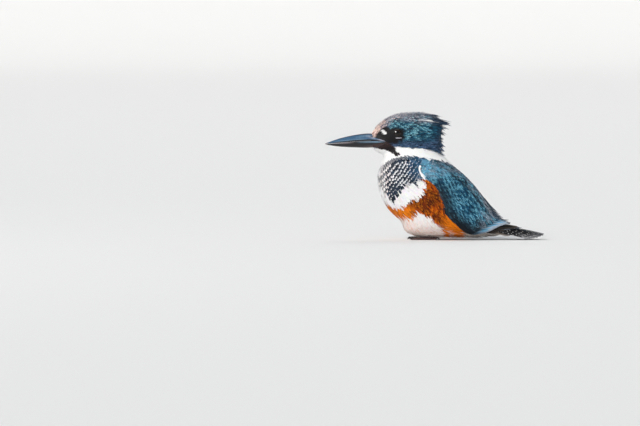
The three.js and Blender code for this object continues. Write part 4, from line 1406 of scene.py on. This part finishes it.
class Quills:
    """Large feathers built one by one, each with a ring of eight places across, and made into one mesh."""

    ACROSS = np.array([-1, -0.5, 0, 0.5, 1, 0.5, 0, -0.5])
    UNDER = np.array([0, 0, 0, 0, 0, 1, 1, 1])
    FLOOR = 0.1

    def __init__(self, rows=26):
        self.along = np.linspace(0, 1, rows)
        self.parts = []

    def add(self, spine, upward, half, tint, edging, front=1.0, camber=0.08, thick=0.32, tooth=0.05):
        """One vane along a spine; front is how wide its leading web is against its trailing one."""
        rows = len(spine)
        heading = unit(np.gradient(spine, axis=0))
        upward = square_to(upward, heading)
        across = np.cross(upward, heading)
        nick = np.where(np.arange(rows) % 2 == 1, 1 - tooth * chance.uniform(0.2, 1.6, rows), 1.0)
        web = np.where(self.ACROSS < 0, front, 1.0)
        out = self.ACROSS * web * (half * nick)[:, None]
        sheet = thick * (0.35 + 0.65 * (1 - np.abs(self.ACROSS))) * (0.5 - self.UNDER)
        shaft = np.where(self.ACROSS == 0, 0.5 * thick, 0) * (0.5 - self.UNDER) * 2
        bend = camber * out**2 / np.maximum(half, 0.5)[:, None]
        up = sheet + shaft * (1 - 0.8 * self.along[:, None]) - bend
        rings = spine[:, None]
        for direction, amount in ((across, out), (upward, up), (heading, 0.5 * np.abs(out))):
            rings = rings + direction[:, None] * amount[..., None]
        self.parts.append((*closed_rings(rings), tint, edging))

    def make(self, name, slot, finish, replaced=()):
        places, faces = joined_shapes([part[:2] for part in self.parts])
        places[:, 2] = np.maximum(places[:, 2], self.FLOOR)
        mesh = raw_mesh(name, in_part(places), faces)
        mesh.shade_smooth()
        corners = np.empty(len(mesh.loops), np.int32)
        mesh.loops.foreach_get("vertex_index", corners)
        count = len(self.parts)
        size = len(places) // count
        luck = [chance.uniform() for _ in self.parts]
        u = np.append(np.tile(self.ACROSS, len(self.along)), [0, 0])
        v = end_to_end(self.along)
        strip = (np.arange(count)[:, None] + 0.5 + 0.42 * u) / count
        add_uv(mesh, "vane", np.tile(np.stack([0.5 + 0.5 * u, v], axis=-1), (count, 1)), corners)
        home = np.stack([strip.ravel(), np.tile(0.02 + 0.96 * v, count)], axis=-1)
        add_uv(mesh, "OFBake", home, corners)
        for label, i in (("tint", 2), ("edging", 3)):
            colours = [np.broadcast_to(part[i], (size, 3)) for part in self.parts]
            add_colour(mesh, label, np.concatenate(colours))
        add_value(mesh, "luck", np.repeat(luck, size))
        add_value(mesh, "rim", np.zeros(len(places)))
        mesh.materials.append(finish)
        shown(name, mesh, replaced)


def end_to_end(along):
    """A value for each place of a quill, from one for each of its rings."""
    return np.append(np.repeat(along, len(Quills.ACROSS)), [0, 1])


def blunt_vane(along, base=0.3, full=0.35, round_from=0.86):
    """Half width along a flight feather: a narrow base, even edges and a round tip."""
    rise = base + (1 - base) * ease(0, full, along)
    end = np.clip((along - round_from) / (1 - round_from), 0, 1)
    return rise * np.sqrt(np.clip(1 - 0.96 * end**2, 0, 1))


def on_wing(run, across, side, lift, sway=0.0):
    """A quill's spine on the folded wing, and the way up from it."""
    spine = wing_at(run, across + sway, side, lift)
    return spine, unit(spine - wing_at(run, np.full(len(run), across), side, lift - 2))


def make_tertials(side, name):
    """Long blue feathers from the wing's middle to its tip, darkest at its lower edge."""
    quills = Quills()
    along = quills.along
    end = ease(0.42, 0.8, end_to_end(along))
    for number, place in enumerate(np.linspace(0, 1, 24)):
        start = 0.5 + 0.16 * place
        stop = 0.9 + 0.09 * ease(0, 0.7, place) + 0.012 * (number % 2)
        lift = 1.6 + 1.7 * along**0.7 + 0.25 * (number % 3)
        sway = 0.02 * np.sin(3 * along + number)
        spine, upward = on_wing(start + (stop - start) * along, 0.95 - 0.83 * place, side, lift, sway)
        half = (2.9 - 0.8 * ease(0, 0.3, place)) * blunt_vane(along, 0.5, 0.3, 0.72)
        tint = toned(INK["wing_dark"] * 0.8, "wing", ease(0.1, 0.45, place)) * chance.uniform(0.6, 1.2)
        bright = toned("wing_edge", "mantle_edge", chance.uniform(0.1, 0.8))
        edge = toned(INK["wing_dark"] * 1.4, bright, ease(0.12, 0.4, place))
        tint = toned(tint, INK["shoulder"] * chance.uniform(1.3, 2.3), 0.9 * end)
        edge = toned(edge, INK["mantle_edge"] * 1.4, 0.9 * end)
        quills.add(spine, upward, half, tint, edge, front=0.8, camber=0.1)
    quills.make(f"tertials_{name}", "wing_plumage", plumage("blue quills"))


def make_back_plumes(side, name):
    """Loose feathers that stand off the wing's back edge."""
    quills = Quills()
    along = quills.along
    for number in range(16):
        start = 0.42 + 0.03 * number + chance.uniform(-0.01, 0.01)
        run = start + chance.uniform(0.15, 0.24) * along
        across = max(chance.uniform(-0.02, 0.2), 0.01)
        lift = 2.4 + 1.0 * along + chance.uniform(0.6, 4.0) * along**2.5
        spine, upward = on_wing(np.minimum(run, 0.995), across, side, lift)
        half = chance.uniform(0.9, 1.7) * blunt_vane(along, 0.5, 0.3, 0.4)
        tint = INK["mantle"] * chance.uniform(0.3, 0.9)
        quills.add(spine, upward, half, tint, INK["mantle_edge"], camber=0.1)
    quills.make(f"back_plumes_{name}", "wing_plumage", plumage("loose back feathers"))


def make_primaries(side, name):
    """The dark feathers of the wing's tip, folded one over the other."""
    quills = Quills()
    share = quills.along[:, None]
    fall = math.radians(58)
    upward = np.tile([0, side * math.sin(fall), math.cos(fall)], (len(share), 1))
    half = 3.0 * blunt_vane(quills.along, 0.7, 0.2, 0.6)
    for number in range(8):
        start = np.array([46, side * (20.5 - 0.35 * number), 17.5 - 0.7 * number])
        end = np.array([100.5 - 3.6 * number, side * (7 + 1.1 * number), 14.6 - 0.95 * number])
        spine = bezier(start, (start + end) / 2 + [0, side * 3.0, 0.6], end, share)
        tint = INK["quill"] * chance.uniform(0.5, 0.9)
        quills.add(spine, upward, half, tint, INK["undertail_in_shade"] * 0.3, front=0.7)
    quills.make(f"primaries_{name}", "wing_plumage", plumage("dark quills"))


TAIL_ROOT = (44, 23.5)
TAIL_LENGTH = 88
TAIL_HALF = 7.6
TAIL_PAIRS = 6


def turned(vectors, roll, pitch, fan):
    """Vectors rolled about x, then pitched about y, then fanned about z, in degrees."""
    roll, pitch, fan = np.radians([roll, pitch, fan])
    about_x = np.array([[1, 0, 0], [0, np.cos(roll), -np.sin(roll)], [0, np.sin(roll), np.cos(roll)]])
    about_y = np.array([[np.cos(pitch), 0, np.sin(pitch)], [0, 1, 0], [-np.sin(pitch), 0, np.cos(pitch)]])
    about_z = np.array([[np.cos(fan), -np.sin(fan), 0], [np.sin(fan), np.cos(fan), 0], [0, 0, 1]])
    return vectors @ (about_z @ about_y @ about_x).T


def tail_spine(along, length, arch, turn, root):
    """A feather's arched spine from its root, and the way up from it, after its turns."""
    spine = np.stack([along * length, 0 * along, arch * np.sin(math.pi * along)], axis=-1)
    return turned(spine, *turn) + root, turned(np.tile([0.0, 0.0, 1.0], (len(along), 1)), *turn)


def make_tail_coverts(lift):
    """The slate feathers that cover the tail's root from above and the pale ones below it."""
    for name, above, pitch, tint, edge in (
        ("upper", 1.3, 8.6, INK["mantle"] * 0.5, INK["mantle_edge"]),
        # The under coverts are white feathers painted grey-beige, as painted shade.
        ("under", -2.6, 12.2, INK["undertail_in_shade"], INK["warm_white"]),
    ):
        coverts = Quills(22)
        half = 2.7 * blunt_vane(coverts.along, 0.5, 0.3, 0.6)
        for number in range(18):
            out = (number // 2) / 8
            side = 1 if number % 2 else -1
            length = 63 - 14 * out**1.5 - 5 * chance.uniform()
            turn = (-side * 40 * out, pitch + 1.2 * out, side * (0.6 + 3.4 * out))
            root = [TAIL_ROOT[0], side * (0.6 + 8.5 * out), TAIL_ROOT[1] + above - 3.4 * out**1.5 + lift]
            spine, upward = tail_spine(coverts.along, length, 0.9, turn, root)
            coverts.add(spine, upward, half, tint * chance.uniform(0.75, 1.1), edge)
        coverts.make(f"{name}_tail_coverts", "body_plumage", plumage(f"{name} tail coverts"))


def make_tail():
    """Twelve barred feathers, the middle pair on top, laid with the lowest just off the floor."""
    tail = Quills(44)
    for pair in reversed(range(TAIL_PAIRS)):
        out = pair / (TAIL_PAIRS - 1)
        length = TAIL_LENGTH - 15 * out**1.6
        half = (TAIL_HALF - 1.6 * out) * blunt_vane(tail.along, 0.3, 0.4, 0.88)
        tint = toned("tail_blue", "tail_dark", ease(0, 0.3, out))
        for side, _ in SIDES:
            turn = (-side * (4 + 32 * out), 9.8 + 2.6 * out, side * (0.6 + 2.6 * out))
            root = [TAIL_ROOT[0], side * (1.2 + 7.5 * out), TAIL_ROOT[1] - 3.2 * out]
            spine, upward = tail_spine(tail.along, length, 1.2, turn, root)
            shape = {"front": 0.8 if pair else 1.0, "camber": 0.05, "thick": 0.36, "tooth": 0.07}
            tail.add(spine, upward, half, tint, INK["band_edge"], **shape)
    lift = Quills.FLOOR - min(part[0][:, 2].min() for part in tail.parts)
    for part in tail.parts:
        part[0][:, 2] += lift
    make_tail_coverts(lift)
    bars = {"Bar Color": (*INK["tail_bar"], 1), "Bar Count": 12.0, "Bar Width": 0.06, "Bar Strength": 0.7}
    tail.make("tail_feathers", "tail_feathers", plumage("tail feathers", bars), ["tail"])


# ---------------------------------------------------------------- bill

MOUTH = [(-124, 109.9), (-101, 111.6), (-80, 113.4), (-62, 113.7), (-46, 112.6)]
MOUTH_GAP = 0.35
NOSTRIL = (-66.5, 118.2)


def mouth_height(x):
    share = np.interp(x, np.transpose(MOUTH)[0], np.linspace(0, 1, len(MOUTH)))
    return smooth_through(MOUTH, share)[..., 1]


def mandible(upper, rows=90, sides=34, inside=8):
    """One mandible as rings: an arc over the outside, closed by a shallow palate along the mouth."""
    rings = []
    for share in np.linspace(0.002, 0.985, rows):
        low_x, low_z, high_x, high_z, half = smooth_through(BILL.ribs, np.array([share]))[0]
        line = float(mouth_height(np.array((low_x + high_x) / 2))) - (0 if upper else MOUTH_GAP)
        up = np.clip(2 * (line - low_z) / max(high_z - low_z, 0.01) - 1, -0.94, 0.94)
        meet = float(np.arccos(signed_power(up, 1 / BILL.power)))
        ends = (-meet, meet) if upper else (meet, CIRCLE - meet)
        arc = BILL.at(np.full(sides, share), np.linspace(*ends, sides))
        inner = np.linspace(arc[-1], arc[0], inside)[1:-1]
        bulge = np.sin(np.linspace(0, math.pi, inside))[1:-1] * min(half, 6) * 0.1
        inner[:, 2] += bulge if upper else -bulge
        rings.append(np.concatenate([arc, inner]))
    rings = np.array(rings)
    if upper:
        x, y, z = np.moveaxis(rings, -1, 0)
        past = x - NOSTRIL[0]
        groove = 0.6 * np.exp(-((past / 4.5) ** 2) - ((z - NOSTRIL[1] - 0.06 * past) / 0.6) ** 2)
        line = np.exp(-(((z - 116.4 + 0.09 * (x + 70)) / 1.1) ** 2)) * ease(-108, -88, x) * ease(-58, -66, x)
        rings[..., 1] -= np.sign(y) * (1.1 * groove + 0.22 * line)
    return rings


def upper_bill_colour(x, z, cloud):
    line = mouth_height(x)
    top = np.interp(x, BILL.ribs[:, 2], BILL.ribs[:, 3])
    height = np.clip((z - line) / np.maximum(top - line, 0.4), 0, 1)
    colour = toned("horn_dark", "horn_steel", ease(0.12, 0.36, height) * ease(1.04, 0.8, height))
    # Painted highlights: pale blue-grey patches along the side towards the base, a pale line just above the
    # mouth, and a whitish band at the base.
    light = ease(0.0, 0.9, cloud) * ease(-92, -66, x) * ease(0.2, 0.5, height) * ease(0.98, 0.7, height)
    colour = toned(colour, "horn_sheen", light)
    highlight_line = np.exp(-(((z - line - 2.0) / 0.4) ** 2)) * ease(-112, -102, x) * ease(-70, -78, x)
    colour = toned(colour, INK["horn_sheen"] * 1.4, 0.6 * highlight_line)
    pale = np.exp(-(((z - 118.0 + 0.22 * (x + 68)) / 1.1) ** 2)) * ease(-76, -62, x)
    colour = toned(colour, "highlight_white", 0.9 * pale * ease(-1.2, 0.0, cloud))
    nostril = np.exp(-(((x - NOSTRIL[0]) / 3.0) ** 2) - ((z - NOSTRIL[1]) / 0.45) ** 2)
    colour = toned(colour, INK["horn_dark"] * 0.4, np.clip(nostril * 1.2, 0, 1))
    return toned(colour, INK["gape"] * 1.5, ease(-116, -120, x) * 0.8)


def lower_bill_colour(x, z, cloud):
    foot = np.interp(x, BILL.ribs[:, 0], BILL.ribs[:, 1])
    height = np.clip((z - foot) / np.maximum(mouth_height(x) - foot, 0.4), 0, 1)
    rim = ease(0.62, 0.85, height) * ease(0.99, 0.9, height)
    colour = toned(INK["horn_dark"] * 0.6, "horn_pale", rim * ease(-119, -108, x) * ease(-84, -98, x) * 0.7)
    # Painted highlight: a pale blue line high on the side towards the base.
    light = ease(0.66, 0.8, height) * ease(0.99, 0.92, height) * ease(-88, -70, x)
    colour = toned(colour, INK["horn_sheen"] * 1.15, light * (0.75 + 0.25 * ease(-0.3, 0.6, cloud)))
    return toned(colour, INK["gape"] * 0.6, ease(-80, -64, x) * ease(0.55, 0.2, height))


def make_bill():
    horn = painted("polished horn", roughness=0.36, bump=0.12, scale=700.0, coat=0.1)
    for name, paint in (("bill_upper", upper_bill_colour), ("bill_lower", lower_bill_colour)):
        shape = closed_rings(mandible(name == "bill_upper"))
        x, _, z = shape[0].T
        tint = paint(x, z, ripple(shape[0] * [0.35, 1, 1], 7, 30))
        solid_piece(f"{name}_horn", shape, tint, horn, [name])


# ---------------------------------------------------------------- eyes

EYE_LOOK = np.array([-0.2, 0.97, 0.06])
EYE_BULGE = 0.42  # of the clear front beyond the ball


def eye_axes(side):
    """The eye's middle, the way it looks, and the two directions across it: forward and up."""
    look = unit(EYE_LOOK * [1, side, 1])
    up = np.array([0.0, 0.0, 1.0])
    up = unit(up - look * (up @ look))
    return EYE_AT * [1, side, 1], look, unit(np.cross(up, look)) * side, up


def eyeball(middle, look, forward, up):
    """A ball with a slight bulge in front, and how far each of its places lies off the way it looks."""
    turn = np.linspace(0, CIRCLE, 49)[:-1]
    spokes = forward * np.cos(turn)[:, None] + up * np.sin(turn)[:, None]
    rings = []
    for tip in np.linspace(math.pi * 0.985, 0.02, 42):
        radius = EYE_RADIUS + EYE_BULGE * ease(0.62, 0.0, tip)
        rings.append(middle + look * (radius * math.cos(tip)) + spokes * radius * math.sin(tip))
    shape = closed_rings(rings)
    return shape, np.arccos(np.clip(unit(shape[0] - middle) @ look, -1, 1))


def eyelids(middle, look, forward, up, rows=72, sides=10):
    """A raised rim round the eye's opening, thicker above."""
    roll = CIRCLE * np.arange(sides)[:, None] / sides
    rings = []
    for angle in np.linspace(0, CIRCLE, rows + 1)[:-1]:
        reach = 0.84 + 0.09 * math.cos(2 * angle) - 0.05 * math.sin(angle)
        spoke = forward * math.cos(angle) + up * math.sin(angle)
        centre = middle + (look * math.cos(reach) + spoke * math.sin(reach)) * (EYE_RADIUS + 0.05)
        outward = unit(centre - middle)
        aside = unit(spoke - outward * (spoke @ outward))
        thick = 0.36 + 0.14 * max(math.sin(angle), 0.0)
        rings.append(centre + outward * thick * 0.8 * np.sin(roll) + aside * (0.5 + thick * np.cos(roll)))
    return np.concatenate(rings), [tuple(face) for face in ring_faces(rows, sides, looped=True)]


def make_eyes():
    ball_finish = painted("moist eye", roughness=0.04, bump=0.0, scale=300.0, specular=0.32)
    lid_finish = painted("eyelid skin", roughness=0.6, bump=0.5, scale=2500.0)
    for side, name in SIDES:
        axes = eye_axes(side)
        shape, off = eyeball(*axes)
        iris = toned("iris_inner", "iris", ease(0.4, 0.6, off))
        tint = toned(toned("pupil", iris, ease(0.44, 0.48, off)), "eye_rim", ease(0.62, 0.72, off))
        solid_piece(f"eyeball_{name}", shape, tint, ball_finish, [f"eye_{name}"])
        solid_piece(f"eyelids_{name}", eyelids(*axes), INK["lid"], lid_finish)


# ---------------------------------------------------------------- feet

ANKLE = (-3.0, 12.5)
TOES = {"inner": (-20, 12.5), "middle": (2, 19.5), "outer": (15, 17.5), "hind": (187, 10.5)}
TOE_RADIUS = 1.9
TOE_DEPTH = 0.92  # of its width
WRINKLE = 0.9  # from one to the next
CLAW_LENGTH = 5.2
CLAW_IN_TOE = 1.4  # how far back in the toe a claw starts
PLATE_SPACING = 0.95
PLATE_SIZE = (0.62, 1.25, 0.36)
SOLE = 0.02  # no toe or claw reaches nearer to the floor


def toe_line(toe, distance, height, side):
    heading = math.radians(TOES[toe][0])
    x = ANKLE[0] - math.cos(heading) * distance
    y = ANKLE[1] + math.sin(heading) * distance
    return np.stack([x, y * side, height], axis=-1)


def toe_profile(share):
    """The height of a toe's middle line and its width, with its joints, along its length."""
    joints = 1.02 - 0.2 * share + 0.08 * np.cos(6 * math.pi * share)
    return np.interp(share, [0, 0.35, 1], [2.1, 1.62, 1.45]), joints


def tube(spine, wide, deep, sides=16):
    """A closed tube round a spine, with rounded ends; its half sizes are numbers or one for each place."""
    share = np.linspace(0, 1, len(spine))
    end = np.clip(np.minimum(share, 1 - share) / 0.12, 0, 1)
    round_end = np.sqrt(np.clip(1 - (1 - end) ** 2, 0.02, 1))
    heading = unit(np.gradient(spine, axis=0))
    across = unit(np.cross(heading, [0.0, 0.0, 1.0]))
    upward = np.cross(across, heading)
    turn = np.linspace(0, CIRCLE, sides + 1)[:-1]
    out = across[:, None] * (np.cos(turn)[None, :, None] * (wide * round_end)[:, None, None])
    lift = upward[:, None] * (np.sin(turn)[None, :, None] * (deep * round_end)[:, None, None])
    return closed_rings(spine[:, None] + out + lift)


def on_the_floor(shape):
    shape[0][:, 2] = np.maximum(shape[0][:, 2], SOLE)
    return shape


def make_feet():
    skin_finish = painted("scaly foot skin", roughness=0.55, bump=0.6, scale=1400.0)
    claw_finish = painted("claw horn", roughness=0.3, bump=0.15, scale=900.0, coat=0.2)
    share = np.linspace(0, 1, 40)
    height, joints = toe_profile(share)
    run = np.linspace(0, 1, 18)
    thick = 1.05 * (1 - run) ** 0.8 + 0.12
    for side, name in SIDES:
        shapes = []
        for toe, (_, length) in TOES.items():
            width = TOE_RADIUS * joints * (1 + 0.02 * np.cos(CIRCLE * share * length / WRINKLE))
            shapes.append(tube(toe_line(toe, share * length, height, side), width, TOE_DEPTH * width))
        pad = np.stack([ANKLE[0] + 4.2 - 9.5 * share, 0 * share + ANKLE[1] * side, 0 * share + 1.75], axis=-1)
        web = toe_line("outer", 3 + share * 9, 1.35 + 0 * share, side) - [0, side * 1.2, 0]
        foot = on_the_floor(joined_shapes([*shapes, tube(pad, 3.3, 2.0), tube(web, 1.8, 1.2)]))
        tint = toned("toe_low", "toe_top", ease(1.0, 3.2, foot[0][:, 2]))
        solid_piece(f"toes_{name}", foot, tint, skin_finish, [f"foot_{name}"])
        middle = ANKLE[1] * side
        spine = smooth_through([(-2.5, middle, 2.6), (-0.5, middle, 7), (3, middle, 13)], share)
        shank = tube(spine, 2.2, 2.4, 14)
        solid_piece(f"shank_{name}", shank, INK["shank"], skin_finish, [f"tarsus_{name}"])
        for toe, (_, length) in TOES.items():
            height_there = smooth_through([1.7, 2.25, 0.5], run)
            spine = toe_line(toe, length - CLAW_IN_TOE + run * CLAW_LENGTH, height_there, side)
            talon = on_the_floor(tube(spine, thick * 0.8, thick, 12))
            nodes = [f"claw_{toe}_{name}"]
            solid_piece(f"talon_{toe}_{name}", talon, INK["talon"], claw_finish, nodes)
    make_scutes(skin_finish)


def toe_tops(marks=12):
    """A mesh of lines along the top of each toe."""
    places = []
    edges = []
    share = np.linspace(0.12, 0.92, marks)
    height, joints = toe_profile(share)
    for side, _ in SIDES:
        for toe, (_, length) in TOES.items():
            edges += [(len(places) + i, len(places) + i + 1) for i in range(marks - 1)]
            line = toe_line(toe, share * length, height + TOE_RADIUS * TOE_DEPTH * joints - 0.22, side)
            places += [tuple(place) for place in in_part(line)]
    lines = bpy.data.meshes.new("toe tops")
    lines.from_pydata(places, edges, [])
    return lines


def make_scute_tree(finish):
    """Overlapping plates along lines, of a given size and spacing; gives back the inputs' identifiers too."""
    tree = bpy.data.node_groups.new("toe scutes", "GeometryNodeTree")
    kinds = {"Geometry": "Geometry", "Plate Spacing": "Float", "Plate Size": "Vector"}
    sockets = new_sockets(tree, "INPUT", kinds)
    new_sockets(tree, "OUTPUT", {"Geometry": "Geometry"})
    given = tree.nodes.new("NodeGroupInput").outputs
    curve = put(tree, "GeometryNodeMeshToCurve", {"Mesh": given["Geometry"]}).outputs["Curve"]
    inputs = {"Curve": curve, "Length": given["Plate Spacing"]}
    marks = put(tree, "GeometryNodeResampleCurve", inputs, mode="LENGTH").outputs["Curve"]
    along_it = {"Vector": put(tree, "GeometryNodeInputTangent").outputs[0]}
    turn = put(tree, "FunctionNodeAlignRotationToVector", along_it, axis="X", pivot_axis="Z").outputs[0]
    plate = put(tree, "GeometryNodeMeshUVSphere", {"Segments": 8, "Rings": 5, "Radius": 1.0}).outputs["Mesh"]
    inputs = {"Points": marks, "Instance": plate, "Rotation": turn, "Scale": given["Plate Size"]}
    made = put(tree, "GeometryNodeInstanceOnPoints", inputs).outputs["Instances"]
    last_steps = (("RealizeInstances", {}), ("SetShadeSmooth", {}), ("SetMaterial", {"Material": finish}))
    for kind, settings in last_steps:
        made = put(tree, f"GeometryNode{kind}", {"Geometry": made, **settings}).outputs["Geometry"]
    link_all(tree, tree.nodes.new("NodeGroupOutput").inputs, Geometry=made)
    return tree, sockets["Plate Spacing"].identifier, sockets["Plate Size"].identifier


def make_scutes(finish):
    """The plates along the top of each toe."""
    tree, spacing, size = make_scute_tree(finish)
    holder = bpy.data.objects.new("toe_scutes", toe_tops())
    bpy.context.collection.objects.link(holder)
    maker = holder.modifiers.new("scutes", "NODES")
    maker.node_group = tree
    maker[spacing] = PLATE_SPACING * MM
    maker[size] = [measure * MM for measure in PLATE_SIZE]
    mesh = evaluated_mesh(holder)
    bpy.data.objects.remove(holder)
    add_colour(mesh, "tint", INK["scute"])
    shown("toe_scutes", mesh)


make_camera()
make_studio()
make_floor()
skin = Skin()
make_skin_piece(skin)
make_vane_group()
make_bar_group()
make_body_coat(skin, make_head_coat(skin))
for side, name in SIDES:
    make_wing_coverts(skin, side, name)
    make_tertials(side, name)
    make_back_plumes(side, name)
    make_primaries(side, name)
make_tail()
make_bill()
make_eyes()
make_feet()

[[list(corner) for corner in box] for box in (cad_box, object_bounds())]
